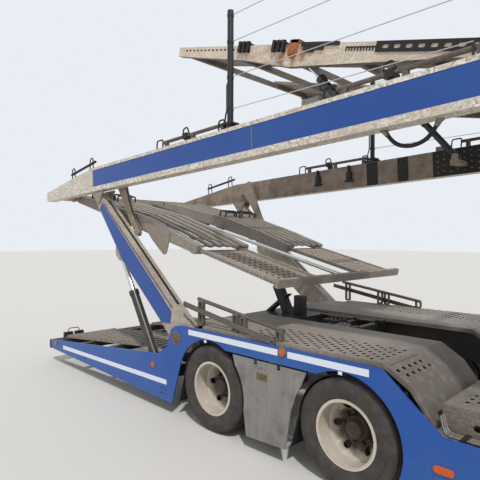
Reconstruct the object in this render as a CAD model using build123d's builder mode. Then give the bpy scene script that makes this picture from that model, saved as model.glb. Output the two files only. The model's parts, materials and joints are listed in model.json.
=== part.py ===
from build123d import *
from math import atan2, cos, degrees, hypot, radians, sin
import os

os.makedirs("parts", exist_ok=True)

# Two-axle centre-axle car transporter trailer, millimetres, +X forward, +Z up, ground at Z = 0.
# The frame's origin is under the middle of the whole length; stations count from the rear axle.
rear_axle_x = -1795
axle_spacing = 1360
front_axle_x = rear_axle_x + axle_spacing
half_width = 1275
skirt_thickness = 12
skirt_inner = half_width - skirt_thickness

# Lower body stations and heights
tail_x = rear_axle_x - 3290
ramp_foot_x = rear_axle_x - 750
hump_rear_x = rear_axle_x - 330
hump_front_x = rear_axle_x + 1650
hump_bend_x = rear_axle_x + 1820
slope_knee = (rear_axle_x + 1880, 742)
slope_foot = (rear_axle_x + 1960, 615)
front_deck_x = rear_axle_x + 1975
nose_x = rear_axle_x + 5100
tail_deck_z = 345
ramp_foot_z = 600
hump_z = 925
hump_bend_z = 820
front_frame_z = 600
front_deck_z = 730
plate_depth = 35
track_inner = 340
deck_side_gap = 30
track_outer_hump = half_width - deck_side_gap
arm_bay_width = 170
track_outer_rear = track_outer_hump - arm_bay_width
front_track_outer = half_width - 125
arm_bay_x = rear_axle_x - 120

# Main frame
rail_centre = 450
rail_width = 100
rail_hump_depth = 265
rail_low_depth = 170
rail_tail_depth = 90
rail_bend_depth = 160
bearer_width = 60
bearer_depth = 70
tail_bearer_drop = 5

# Wheels: twin 215/75 R17.5 tyres on six-hole dished steel rims
tyre_radius = 383.5
tyre_width = 211
tyre_shoulder = 22
rim_seat_radius = 223
rim_flange_radius = 237
rim_width = 176
rim_wall = 9
twin_spacing = 242
tyre_inset = 17
tyre_outer_y = half_width - tyre_inset
disc_thickness = 12
hand_hole_count = 6
hand_hole_radius = 27
hand_hole_circle = 163
hub_flange_radius = 135
hub_radius = 92
hub_cap_radius = 62
hub_cap_length = 95
drum_radius = 190
drum_width = 140
drum_face = 92
spindle_radius = 38
spindle_clearance = 0.5
axle_tube = 110

# Arches and skirts
arch_radius = 432
liner_radius = 396
liner_thickness = 5
liner_outer_y = track_outer_hump - 12
liner_inner_y = tyre_outer_y - tyre_width - twin_spacing - 10
skirt_bottom_rear_z = 200
skirt_bottom_arch_z = 121
skirt_bottom_front_z = 150
skirt_top_tail_z = 311
skirt_top_foot_z = 568
skirt_hump_z = 895
skirt_front_z = 578
arch_rear_low_x = rear_axle_x - 544
arch_front_low_x = front_axle_x + 452
door_top_z = 762
door_gap = 14
door_thickness = 10
door_foot_z = 112
door_hinge_inset = 18
door_hinge_y = half_width - door_hinge_inset
door_hinge_z = 730
door_hinges = (rear_axle_x + 560, rear_axle_x + 800)
door_pin_radius = 6
door_knuckle_radius = 12
door_knuckle_length = 22
door_bracket_width = 30
door_bracket_gap = 3
door_latch = (rear_axle_x + 628, 623)
door_latch_size = (117, 62)
door_latch_depth = 5

# Lift arms: a parallelogram that carries the upper deck
arm_pivot_x = rear_axle_x - 410
arm_pivot_z = 760
arm_length = 2150
arm_angle = 41.5
arm_span = 4480
arm_thickness = 118
arm_inset = 32
arm_outer_y = half_width - arm_inset
arm_panel_thickness = 3
pin_radius = 30
pin_clearance = 0.5
deck_slope = 2.16
arm_eye_radius = 60
bracket_plate = 34
bracket_boss_radius = 74
tie_width = 150

# Lift cylinders, one under each rear arm
cylinder_foot_x = rear_axle_x - 900
cylinder_foot_z = 420
rod_eye_along = 1400
rod_eye_below = 225
barrel_radius = 48
barrel_length = 850
rod_radius = 27
cylinder_y = arm_outer_y - arm_thickness / 2
foot_bearer_z = cylinder_foot_z - 125
foot_bearer_width = 110
foot_bearer_depth = 90
fork_plate = 14
fork_gap = 62
foot_plate_width = 96
foot_pin_radius = 20
foot_bore_clearance = 1
eye_side_gap = 3
lift_rod_engaged = 420
lift_foot_eye = 44
lift_head_eye = 40

# Upper deck
beam_width = 125
beam_inner_y = half_width - beam_width
beam_middle_y = half_width - beam_width / 2
beam_lift = 95
beam_depth = 285
tail_beam_depth = 120
beam_tail = -1425
beam_taper_start = -100
beam_nose = 7100
panel_recess = 12
panel_thickness = 8
panel_margin_top = 32
panel_margin_bottom = 55
cross_tube_width = 90
cross_tube_depth = 80

# Tilting rear platform with its sliding end
platform_hinge_x = rear_axle_x - 2900
platform_hinge_z = 2285
platform_slope = 14.5
platform_side_gap = 90
platform_half_width = beam_inner_y - platform_side_gap
platform_track_inner = 330
platform_length = 2560
platform_depth = 95
platform_member = 40
platform_slat_depth = 22
hinge_drop = 35
hinge_pin_radius = 25
slide_start = 1650
slide_end = 3600
slide_member = 40
slide_gap = 5
slide_barrel_radius = 36
slide_rod_radius = 20
slide_barrel_start = 300
slide_barrel_end = 1480

# Raised top tray
tray_hinge_x = rear_axle_x + 2600
tray_hinge_z = 2778
tray_slope = 15
tray_length = 3430
tray_side_gap = 100
tray_half_width = beam_inner_y - tray_side_gap
tray_outline = [(-tray_length, -87), (-2457, -125), (-1934, -178), (-550, -110), (50, -90)]
tray_member = 52
tray_web = 8
tray_hinge_drop = 45
tray_eye_along = 1900
tray_eye_drop = 60
tray_foot_along = 3320
tray_foot_up = 250
tray_barrel_radius = 34
tray_barrel_length = 540
tray_rod_radius = 18
tray_rod_engaged = 215
tray_foot_eye = 32
tray_head_eye = 30
tray_eye_width = 50
tray_pin_radius = 14
tray_clevis = 36
tray_clevis_plate = 10
tray_clevis_radius = 34
tray_cylinder_inset = 105
tray_cylinder_y = tray_half_width - tray_cylinder_inset

# Drawbar and support leg
eye_x = rear_axle_x + 6980
eye_z = 430
eye_bore_radius = 25
eye_ring_radius = 62
leg_x = rear_axle_x + 5420
leg_tube = 95

# Side-view planes: local x runs forward along the plane, local y upwards
def side_plane(y):
    return Plane(origin=(0, y, 0), x_dir=(1, 0, 0), z_dir=(0, -1, 0))


def sloped_side(x, z, slope, y):
    c, s = cos(radians(slope)), sin(radians(slope))
    return Plane(origin=(x, y, z), x_dir=(c, 0, s), z_dir=(0, -1, 0))


def sloped_top(x, z, slope):
    c, s = cos(radians(slope)), sin(radians(slope))
    return Plane(origin=(x, 0, z), x_dir=(c, 0, s), z_dir=(-s, 0, c))


def arm_plane(pivot, y):
    c, s = cos(radians(arm_angle)), sin(radians(arm_angle))
    return Plane(origin=(pivot[0], y, pivot[1]), x_dir=(-c, 0, s), z_dir=(0, 1, 0))


# Cross plane: local x runs to the left side, local y upwards
def cross_plane(x):
    return Plane(origin=(x, 0, 0), x_dir=(0, 1, 0), z_dir=(1, 0, 0))


def line_z(x, x0, z0, x1, z1):
    return z0 + (z1 - z0) * (x - x0) / (x1 - x0)


def write(builder, label):
    builder.part.label = label
    export_step(builder.part, f"parts/{label}.step")


# Worked-out places of the linkage
slope_c, slope_s = cos(radians(deck_slope)), sin(radians(deck_slope))
arm_c, arm_s = cos(radians(arm_angle)), sin(radians(arm_angle))
rear_pivot = (arm_pivot_x, arm_pivot_z)
front_pivot = (arm_pivot_x + arm_span * slope_c, arm_pivot_z + arm_span * slope_s)
deck_x = arm_pivot_x - arm_length * arm_c
deck_z = arm_pivot_z + arm_length * arm_s
rod_eye = (
    arm_pivot_x - rod_eye_along * arm_c - rod_eye_below * arm_s,
    arm_pivot_z + rod_eye_along * arm_s - rod_eye_below * arm_c,
)


platform_c, platform_s = cos(radians(platform_slope)), sin(radians(platform_slope))
platform_axis = (platform_hinge_x - hinge_drop * platform_s, platform_hinge_z - hinge_drop * platform_c)
tray_c, tray_s = cos(radians(tray_slope)), sin(radians(tray_slope))
tray_axis = (tray_hinge_x - tray_hinge_drop * tray_s, tray_hinge_z - tray_hinge_drop * tray_c)
tray_eye = (
    tray_hinge_x - tray_eye_along * tray_c - tray_eye_drop * tray_s,
    tray_hinge_z + tray_eye_along * tray_s - tray_eye_drop * tray_c,
)
tray_foot = (
    deck_x + tray_foot_along * slope_c - tray_foot_up * slope_s,
    deck_z + tray_foot_along * slope_s + tray_foot_up * slope_c,
)


def rear_deck_z(x):
    return line_z(x, tail_x, tail_deck_z, ramp_foot_x, ramp_foot_z)


# Chassis frame: two cranked rails, their bearers and the lift brackets
rear_bearers = [tail_x + 120, tail_x + 820, tail_x + 1500]
hump_bearers = [rear_axle_x - 140, rear_axle_x + 130, *door_hinges]
front_bearers = [front_deck_x + reach for reach in (155, 935, 1735, 2485)] + [nose_x - 60]
tail_slope = degrees(atan2(ramp_foot_z - tail_deck_z, ramp_foot_x - tail_x))
tail_seat = plate_depth / cos(radians(tail_slope))
rail_top = [
    (tail_x, tail_deck_z - tail_seat),
    (ramp_foot_x, ramp_foot_z - tail_seat),
    (hump_rear_x, hump_z - plate_depth),
    (hump_front_x, hump_z - plate_depth),
    (hump_bend_x, hump_bend_z - plate_depth),
    (slope_foot[0], front_frame_z - plate_depth),
    (nose_x, front_frame_z - plate_depth),
]
rail_depths = [
    rail_tail_depth,
    rail_low_depth,
    rail_hump_depth,
    rail_hump_depth,
    rail_bend_depth,
    rail_low_depth,
    rail_low_depth,
]
rail_bottom = [(x, z - d) for (x, z), d in zip(rail_top, rail_depths)]

rail_outline = [*rail_top, *reversed(rail_bottom)]
rail_faces = (-rail_centre + rail_width / 2, rail_centre + rail_width / 2)

with BuildPart() as main_rails:
    with BuildSketch(side_plane(rail_faces[0])):
        with BuildLine():
            Polyline(*rail_outline, close=True)
        make_face()
    extrude(amount=rail_width)
    mirror(about=Plane.XZ)
write(main_rails, "main_rails")

# Bearers stand between and outside the rails, their tops level with them
tail_bearer_under = tail_seat + bearer_depth / 2 + tail_bearer_drop
bearer_places = [(x, rear_deck_z(x) - tail_bearer_under) for x in rear_bearers]
bearer_places += [(x, hump_z - plate_depth - bearer_depth / 2) for x in hump_bearers]
bearer_places += [(x, front_frame_z - plate_depth - bearer_depth / 2) for x in front_bearers]
bracket_head_z = hump_z - plate_depth - bearer_depth + 5
hinge_pin_reach = door_bracket_width / 2 + door_bracket_gap + door_knuckle_length + 4
with BuildPart() as cross_bearers:
    with BuildSketch(side_plane(skirt_inner)):
        with Locations(*bearer_places):
            Rectangle(bearer_width, bearer_depth)
    extrude(amount=2 * skirt_inner)
    for face in rail_faces:
        with BuildSketch(side_plane(face)):
            with BuildLine():
                Polyline(*rail_outline, close=True)
            make_face()
        extrude(amount=rail_width, mode=Mode.SUBTRACT)
    # Hinge brackets and pins of the wheel doors hang from the hump's bearers
    for x in door_hinges:
        with BuildSketch(cross_plane(x - door_bracket_width / 2)):
            for side in (-1, 1):
                with Locations((side * (door_hinge_y - 4), (door_hinge_z + bracket_head_z) / 2)):
                    Rectangle(16, bracket_head_z - door_hinge_z)
                with Locations((side * door_hinge_y, door_hinge_z)):
                    Circle(door_knuckle_radius)
        extrude(amount=door_bracket_width)
        with BuildSketch(cross_plane(x - hinge_pin_reach)):
            with Locations((door_hinge_y, door_hinge_z), (-door_hinge_y, door_hinge_z)):
                Circle(door_pin_radius)
        extrude(amount=2 * hinge_pin_reach)
write(cross_bearers, "cross_bearers")

# Arm brackets: pivots inboard of the arms, tied across the frame, and the lift cylinders' feet
bracket_y = arm_outer_y - arm_thickness - 8
tie_z = front_frame_z - plate_depth - bearer_depth / 2
foot_rail_z = rear_deck_z(cylinder_foot_x) - tail_seat - 20
with BuildPart() as arm_brackets:
    for pivot in (rear_pivot, front_pivot):
        with BuildSketch(side_plane(-bracket_y + bracket_plate)):
            with BuildLine():
                Polyline(
                    (pivot[0] - 130, tie_z),
                    (pivot[0] - 75, pivot[1]),
                    (pivot[0] + 70, pivot[1]),
                    (pivot[0] - 30, tie_z),
                    close=True,
                )
            make_face()
            with Locations(pivot):
                Circle(bracket_boss_radius)
        extrude(amount=bracket_plate)
        with BuildSketch(side_plane(-bracket_y)):
            with Locations(pivot):
                Circle(pin_radius)
        extrude(amount=arm_thickness + 14)
        mirror(about=Plane.XZ)
        with BuildSketch(side_plane(bracket_y)):
            with Locations((pivot[0] - 88, tie_z)):
                Rectangle(tie_width, bearer_depth)
        extrude(amount=2 * bracket_y)
    with BuildSketch(side_plane(skirt_inner)):
        with Locations((cylinder_foot_x, foot_bearer_z)):
            Rectangle(foot_bearer_width, foot_bearer_depth)
    extrude(amount=2 * skirt_inner)
    with BuildSketch(side_plane(rail_faces[0])):
        with Locations((cylinder_foot_x, (foot_bearer_z + foot_rail_z) / 2)):
            Rectangle(foot_bearer_width, foot_rail_z - foot_bearer_z)
    extrude(amount=rail_width)
    # Clevises for the lift cylinders' feet
    for inner in (cylinder_y - fork_gap / 2 - fork_plate, cylinder_y + fork_gap / 2):
        with BuildSketch(side_plane(-inner)):
            with Locations((cylinder_foot_x, cylinder_foot_z)):
                Circle(foot_plate_width / 2)
            with Locations((cylinder_foot_x, (cylinder_foot_z + foot_bearer_z) / 2)):
                Rectangle(foot_plate_width, cylinder_foot_z - foot_bearer_z)
        extrude(amount=fork_plate)
    with BuildSketch(side_plane(-cylinder_y + fork_gap / 2 + fork_plate)):
        with Locations((cylinder_foot_x, cylinder_foot_z)):
            Circle(foot_pin_radius)
    extrude(amount=fork_gap + 2 * fork_plate)
    mirror(about=Plane.XZ)
    for face in rail_faces:
        with BuildSketch(side_plane(face)):
            with BuildLine():
                Polyline(*rail_outline, close=True)
            make_face()
        extrude(amount=rail_width, mode=Mode.SUBTRACT)
write(arm_brackets, "arm_brackets")

# Axles with spindles, trailing arms, hangers and air springs
with BuildPart() as axle_beams:
    for axle_x in (rear_axle_x, front_axle_x):
        with BuildSketch(side_plane(tyre_outer_y - 500)):
            with Locations((axle_x, tyre_radius)):
                Rectangle(axle_tube, axle_tube)
        extrude(amount=2 * (tyre_outer_y - 500))
        with BuildSketch(side_plane(tyre_outer_y - 190)):
            with Locations((axle_x, tyre_radius)):
                Circle(spindle_radius)
        extrude(amount=2 * (tyre_outer_y - 190))
        with BuildSketch(side_plane(-rail_centre + 35)):
            with BuildLine():
                Polyline(
                    (axle_x - 360, tyre_radius - axle_tube / 2 - 20),
                    (axle_x + 400, tyre_radius - 20),
                    (axle_x + 400, tyre_radius + 50),
                    (axle_x - 360, tyre_radius - axle_tube / 2 + 40),
                    close=True,
                )
            make_face()
            with Locations((axle_x + 400, tyre_radius + 15)):
                Circle(50)
            with BuildLine():
                Polyline(
                    (axle_x + 340, hump_z - plate_depth - rail_hump_depth),
                    (axle_x + 360, tyre_radius + 10),
                    (axle_x + 440, tyre_radius + 10),
                    (axle_x + 455, hump_z - plate_depth - rail_hump_depth),
                    close=True,
                )
            make_face()
        extrude(amount=70)
        spring_z = tyre_radius - axle_tube / 2 + 40
        with BuildSketch(Plane.XY.offset(spring_z)):
            with Locations((axle_x - 240, -rail_centre)):
                Circle(85)
        extrude(amount=hump_z - plate_depth - rail_hump_depth - spring_z)
        mirror(about=Plane.XZ)
write(axle_beams, "axle_beams")


# Wheels: each end of an axle turns as one body, twin tyres on twin dished rims
mating_y = tyre_outer_y - tyre_width / 2 - twin_spacing / 2
for axle_name, axle_x in (("rear", rear_axle_x), ("front", front_axle_x)):
    for side_name, side in (("right", -1), ("left", 1)):
        wheel_plane = Plane(origin=(axle_x, 0, tyre_radius), x_dir=(0, 1, 0), z_dir=(1, 0, 0))
        wheel_axis = Axis((axle_x, 0, tyre_radius), (0, 1, 0))
        with BuildPart() as tyres:
            for centre in (mating_y + twin_spacing / 2, mating_y - twin_spacing / 2):
                half = tyre_width / 2
                outline = [
                    (centre - rim_width / 2 + rim_wall, rim_seat_radius),
                    (centre - rim_width / 2 + rim_wall, rim_flange_radius + 2),
                    (centre - half, rim_seat_radius + 62),
                    (centre - half, tyre_radius - 62),
                    (centre - half + tyre_shoulder, tyre_radius - 8),
                    (centre - half + tyre_shoulder + 18, tyre_radius),
                    (centre + half - tyre_shoulder - 18, tyre_radius),
                    (centre + half - tyre_shoulder, tyre_radius - 8),
                    (centre + half, tyre_radius - 62),
                    (centre + half, rim_seat_radius + 62),
                    (centre + rim_width / 2 - rim_wall, rim_flange_radius + 2),
                    (centre + rim_width / 2 - rim_wall, rim_seat_radius),
                ]
                with BuildSketch(wheel_plane):
                    with BuildLine():
                        Polyline(*[(side * y, r) for y, r in outline], close=True)
                    make_face()
                revolve(axis=wheel_axis)
        write(tyres, f"tyres_{axle_name}_{side_name}")

        with BuildPart() as wheel:
            for turn in (1, -1):
                centre = mating_y + turn * twin_spacing / 2
                edge = rim_width / 2
                with BuildSketch(wheel_plane):
                    with BuildLine():
                        Polyline(
                            (side * (centre - edge), rim_flange_radius),
                            (side * (centre - edge), rim_seat_radius - rim_wall),
                            (side * (centre + edge), rim_seat_radius - rim_wall),
                            (side * (centre + edge), rim_flange_radius),
                            (side * (centre + edge - rim_wall), rim_flange_radius),
                            (side * (centre + edge - rim_wall), rim_seat_radius),
                            (side * (centre - edge + rim_wall), rim_seat_radius),
                            (side * (centre - edge + rim_wall), rim_flange_radius),
                            close=True,
                        )
                    make_face()
                    with BuildLine():
                        Polyline(
                            (side * (mating_y + turn * 78), rim_seat_radius - rim_wall + 1),
                            (side * (mating_y + turn * 62), rim_seat_radius - rim_wall + 1),
                            (side * (mating_y + turn * 30), hub_flange_radius + 22),
                            (side * mating_y, hub_flange_radius),
                            (side * mating_y, hub_radius - 20),
                            (side * (mating_y + turn * disc_thickness), hub_radius - 20),
                            (side * (mating_y + turn * disc_thickness), hub_flange_radius - 5),
                            (side * (mating_y + turn * 44), hub_flange_radius + 22),
                            close=True,
                        )
                    make_face()
                revolve(axis=wheel_axis)
            # Hub, brake drum and cap, bored for the spindle
            bore = spindle_radius + spindle_clearance
            spindle_end = tyre_outer_y - 190
            with BuildSketch(wheel_plane):
                with BuildLine():
                    Polyline(
                        (side * (mating_y - drum_face - drum_width), bore),
                        (side * (mating_y - drum_face - drum_width), drum_radius),
                        (side * (mating_y - drum_face), drum_radius),
                        (side * (mating_y - drum_face), hub_radius + 18),
                        (side * (mating_y - disc_thickness - 14), hub_radius + 18),
                        (side * (mating_y - disc_thickness - 14), hub_flange_radius - 8),
                        (side * (mating_y - disc_thickness), hub_flange_radius - 8),
                        (side * (mating_y - disc_thickness), hub_radius),
                        (side * (mating_y + disc_thickness + 42), hub_radius - 10),
                        (side * (mating_y + disc_thickness + 42), hub_cap_radius),
                        (side * (mating_y + disc_thickness + hub_cap_length - 10), hub_cap_radius),
                        (side * (mating_y + disc_thickness + hub_cap_length), hub_cap_radius - 14),
                        (side * (mating_y + disc_thickness + hub_cap_length), 0),
                        (side * (spindle_end + 6), 0),
                        (side * (spindle_end + 6), bore),
                        close=True,
                    )
                make_face()
            revolve(axis=wheel_axis)
            with BuildSketch(side_plane(side * (mating_y - 75) if side < 0 else mating_y + 75)):
                with Locations((axle_x, tyre_radius)):
                    with PolarLocations(hand_hole_circle, hand_hole_count):
                        Circle(hand_hole_radius)
            extrude(amount=150, mode=Mode.SUBTRACT)
        write(wheel, f"wheel_{axle_name}_{side_name}")

# Side skirts: one cranked blue plate each side, cut for the wheels and the panel between them
with BuildPart() as side_skirts:
    with BuildSketch(side_plane(-skirt_inner)):
        with BuildLine():
            Polyline(
                (tail_x, skirt_bottom_rear_z),
                (tail_x, skirt_top_tail_z),
                (ramp_foot_x, skirt_top_foot_z),
                (ramp_foot_x + 130, skirt_top_foot_z + 95),
                (ramp_foot_x + 195, skirt_hump_z - 60),
                (ramp_foot_x + 260, skirt_hump_z - 15),
                (ramp_foot_x + 420, skirt_hump_z),
                (hump_front_x, skirt_hump_z),
                (hump_front_x + 375, skirt_front_z),
                (nose_x, skirt_front_z),
                (nose_x, skirt_bottom_front_z),
                (arch_front_low_x, skirt_bottom_front_z),
                (arch_front_low_x, skirt_bottom_arch_z + 60),
                (front_axle_x, skirt_bottom_arch_z + 60),
                (front_axle_x, skirt_bottom_arch_z - 200),
                (rear_axle_x, skirt_bottom_arch_z - 200),
                (rear_axle_x, skirt_bottom_arch_z),
                (arch_rear_low_x, skirt_bottom_arch_z),
                close=True,
            )
        make_face()
        for axle_x in (rear_axle_x, front_axle_x):
            with Locations((axle_x, tyre_radius)):
                Circle(arch_radius, mode=Mode.SUBTRACT)
        with BuildLine():
            Polyline(
                (rear_axle_x + 150, door_top_z),
                (front_axle_x - 150, door_top_z),
                (front_axle_x, tyre_radius),
                (arch_front_low_x + 1, skirt_bottom_front_z + 1),
                (arch_front_low_x + 1, -300),
                (arch_rear_low_x, -300),
                (arch_rear_low_x, skirt_bottom_arch_z),
                (rear_axle_x - arch_radius * 0.92, tyre_radius + arch_radius * 0.4),
                close=True,
            )
        make_face(mode=Mode.SUBTRACT)
    extrude(amount=skirt_thickness)
    mirror(about=Plane.XZ)
write(side_skirts, "side_skirts")

# White stripes, thin bars seated on the skirts
stripe_height = 48
stripe_thickness = 1.5
hump_stripe_z = 848
hump_stripes = [(rear_axle_x - 287, rear_axle_x + 790), (rear_axle_x + 886, rear_axle_x + 1560)]
with BuildPart() as side_stripes:
    with BuildSketch(side_plane(-half_width)):
        for x0, x1 in hump_stripes:
            with Locations(((x0 + x1) / 2, hump_stripe_z)):
                Rectangle(x1 - x0, stripe_height)
        with BuildLine():
            Polyline(
                (tail_x + 365, 242),
                (ramp_foot_x + 125, 284),
                (ramp_foot_x + 125, 284 + stripe_height),
                (tail_x + 365, 242 + stripe_height),
                close=True,
            )
        make_face()
    extrude(amount=stripe_thickness)
    mirror(about=Plane.XZ)
write(side_stripes, "side_stripes")

# Wheel-arch liners with mud flaps behind each wheel
with BuildPart() as mudguards:
    for axle_x in (rear_axle_x, front_axle_x):
        with BuildSketch(side_plane(-liner_inner_y)):
            with Locations((axle_x, tyre_radius)):
                Circle(liner_radius + liner_thickness)
                Circle(liner_radius, mode=Mode.SUBTRACT)
            with BuildLine():
                Polyline(
                    (axle_x, tyre_radius),
                    (axle_x + 500 * cos(radians(50)), tyre_radius + 500 * sin(radians(50))),
                    (axle_x + 700, tyre_radius + 300),
                    (axle_x + 700, -200),
                    (axle_x - 500, -200),
                    (axle_x - 500, tyre_radius),
                    close=True,
                )
            make_face(mode=Mode.SUBTRACT)
            flap_x = axle_x - liner_radius - liner_thickness / 2
            with BuildLine():
                Polyline(
                    (flap_x - 5, tyre_radius + 12),
                    (flap_x + 2, tyre_radius + 12),
                    (flap_x - 70, 150),
                    (flap_x - 77, 150),
                    close=True,
                )
            make_face()
            web_foot = tyre_radius + liner_radius + liner_thickness / 2
            with Locations((axle_x, (web_foot + hump_z - plate_depth) / 2)):
                Rectangle(12, hump_z - plate_depth - web_foot)
        extrude(amount=liner_outer_y - liner_inner_y)
        mirror(about=Plane.XZ)
write(mudguards, "mudguards")

# Decks: bent track plates on the hump, ribbed tracks on the low tail, flat tracks at the front
hump_top = [
    (ramp_foot_x, ramp_foot_z),
    (hump_rear_x, hump_z),
    (hump_front_x, hump_z),
    (hump_bend_x, hump_bend_z),
    slope_knee,
    slope_foot,
]
# Perforated plates lie in windows of the track plates: rear and front end, seat height at both
grid_inner = 800
grid_outer = track_outer_hump - 20
grid_thickness = 8
grid_end_gap = 5
grid_hole = (36, 25)
grid_row_pitch = 52
grid_hole_pitch = 82
bend_slope = degrees(atan2(hump_bend_z - hump_z, hump_bend_x - hump_front_x))
hump_grids = [
    (rear_axle_x + 345, hump_front_x - 15),
    (hump_front_x + 20, hump_bend_x - 14),
]
with BuildPart() as hump_deck:
    with BuildSketch(side_plane(-track_inner)):
        with BuildLine():
            Polyline(*hump_top, *[(x, z - plate_depth) for x, z in reversed(hump_top)], close=True)
        make_face()
    extrude(amount=track_outer_hump - track_inner)
    with BuildSketch(Plane.XY):
        with Locations(((ramp_foot_x + arm_bay_x) / 2 - 50, -track_outer_rear - 100)):
            Rectangle(arm_bay_x - ramp_foot_x + 100, 200)
        for x0, x1 in hump_grids:
            with Locations(((x0 + x1) / 2, -(grid_inner + grid_outer) / 2)):
                Rectangle(x1 - x0, grid_outer - grid_inner)
    extrude(amount=hump_z + 100, mode=Mode.SUBTRACT)
    mirror(about=Plane.XZ)
write(hump_deck, "hump_deck")

front_grid_outer = track_outer_rear - 20
front_grids = [
    (front_deck_x + 60, front_deck_x + 1240),
    (front_deck_x + 2360, nose_x - 60),
]
# Start, height, end, slope and outer edge of each perforated plate
bend_grid_start = hump_grids[1][0] + grid_end_gap
bend_grid_z = line_z(bend_grid_start, hump_front_x, hump_z, hump_bend_x, hump_bend_z)
grid_table = [
    (hump_grids[0][0], hump_z, hump_grids[0][1], 0, grid_outer),
    (bend_grid_start, bend_grid_z, hump_grids[1][1], bend_slope, grid_outer),
]
grid_table += [(x0, front_deck_z, x1, 0, front_grid_outer) for x0, x1 in front_grids]
with BuildPart() as track_grids:
    for x0, z0, x1, tilt, outer in grid_table:
        run = (x1 - x0) / cos(radians(tilt))
        width = outer - grid_inner
        middle = -(grid_inner + outer) / 2
        row_count = int(run / grid_row_pitch)
        column_count = int(width / grid_hole_pitch)
        with BuildSketch(sloped_top(x0, z0, tilt)):
            with Locations((run / 2, middle)):
                Rectangle(run, width)
            for row in range(row_count):
                shift = grid_hole_pitch / 4 if row % 2 else -grid_hole_pitch / 4
                with Locations((run / 2 + (row - (row_count - 1) / 2) * grid_row_pitch, middle + shift)):
                    with GridLocations(1, grid_hole_pitch, 1, column_count):
                        Rectangle(grid_hole[1], grid_hole[0], mode=Mode.SUBTRACT)
        extrude(amount=-grid_thickness)
    mirror(about=Plane.XZ)
write(track_grids, "track_grids")

rib_pitch = 150
rib_height = 22
tail_run = hypot(ramp_foot_z - tail_deck_z, ramp_foot_x - tail_x)
rib_count = int(tail_run / rib_pitch)
with BuildPart() as rear_deck:
    with BuildSketch(sloped_side(tail_x, tail_deck_z, tail_slope, -track_inner)):
        with Locations((tail_run / 2 - 4, -plate_depth / 2 - rib_height / 2)):
            Rectangle(tail_run - 12, plate_depth - rib_height)
        for i in range(rib_count):
            with Locations(((i + 0.5) * rib_pitch, -rib_height / 2)):
                Rectangle(50, rib_height)
    extrude(amount=track_outer_rear - track_inner)
    mirror(about=Plane.XZ)
write(rear_deck, "rear_deck")

front_side_thickness = 12
front_slot = (120, 42)
front_slot_pitch = 190
front_slot_count = 15
front_length = nose_x - front_deck_x - 6
front_middle_x = (front_deck_x + nose_x) / 2
with BuildPart() as front_deck:
    with BuildSketch(side_plane(-track_inner)):
        with Locations((front_middle_x, front_deck_z - plate_depth / 2)):
            Rectangle(front_length, plate_depth)
    extrude(amount=front_track_outer - track_inner)
    # The front arms swing through a slot beside each track
    with BuildSketch(Plane.XY):
        with Locations((front_pivot[0] - 250, -track_outer_rear - 100)):
            Rectangle(900, 200)
        for x0, x1 in front_grids:
            with Locations(((x0 + x1) / 2, -(grid_inner + front_grid_outer) / 2)):
                Rectangle(x1 - x0, front_grid_outer - grid_inner)
    extrude(amount=front_deck_z + 100, mode=Mode.SUBTRACT)
    # Slotted side plates stand on the bearers
    for y in (track_inner, front_track_outer - front_side_thickness):
        with BuildSketch(side_plane(-y)):
            with Locations((front_middle_x, (front_deck_z + front_frame_z) / 2 - plate_depth)):
                Rectangle(front_length, front_deck_z - front_frame_z)
                with GridLocations(front_slot_pitch, 1, front_slot_count, 1):
                    SlotOverall(*front_slot, mode=Mode.SUBTRACT)
        extrude(amount=front_side_thickness)
    mirror(about=Plane.XZ)
write(front_deck, "front_deck")

# Tail cross bar with its lamp housings
with BuildPart() as tail_bar:
    with BuildSketch(side_plane(half_width)):
        with Locations((tail_x - 30, 250)):
            Rectangle(60, 110)
    extrude(amount=2 * half_width)
write(tail_bar, "tail_bar")

# Lamps: red at the tail, amber along the sides
lamp_radius = 42
side_lamps = [
    (tail_x + 150, 290, 26),
    (rear_axle_x - 851, 439, 26),
    (rear_axle_x + 837, 860, 30),
]
long_markers = [(rear_axle_x + 2036, 388), (rear_axle_x + 4200, 388)]
long_marker = (120, 44)
marker_bulb_radius = 13
marker_bulb_pitch = 38
with BuildPart() as amber_lamps:
    with BuildSketch(side_plane(-half_width)):
        for x, z, r in side_lamps:
            with Locations((x, z)):
                Circle(r)
        for place in long_markers:
            with Locations(place):
                SlotOverall(*long_marker)
    extrude(amount=10)
    with BuildSketch(side_plane(-half_width - 10)):
        for x, z, r in side_lamps:
            with Locations((x, z)):
                Circle(r - 6)
        for place in long_markers:
            with Locations(place):
                with GridLocations(marker_bulb_pitch, 1, 3, 1):
                    Circle(marker_bulb_radius)
    extrude(amount=4)
    mirror(about=Plane.XZ)
write(amber_lamps, "amber_lamps")

with BuildPart() as red_lamps:
    with BuildSketch(Plane(origin=(tail_x - 60, 0, 250), x_dir=(0, -1, 0), z_dir=(-1, 0, 0))):
        for y in (half_width - 255, half_width - 155, half_width - 60):
            with Locations((y, 0), (-y, 0)):
                Circle(lamp_radius)
    extrude(amount=18)
write(red_lamps, "red_lamps")

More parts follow.
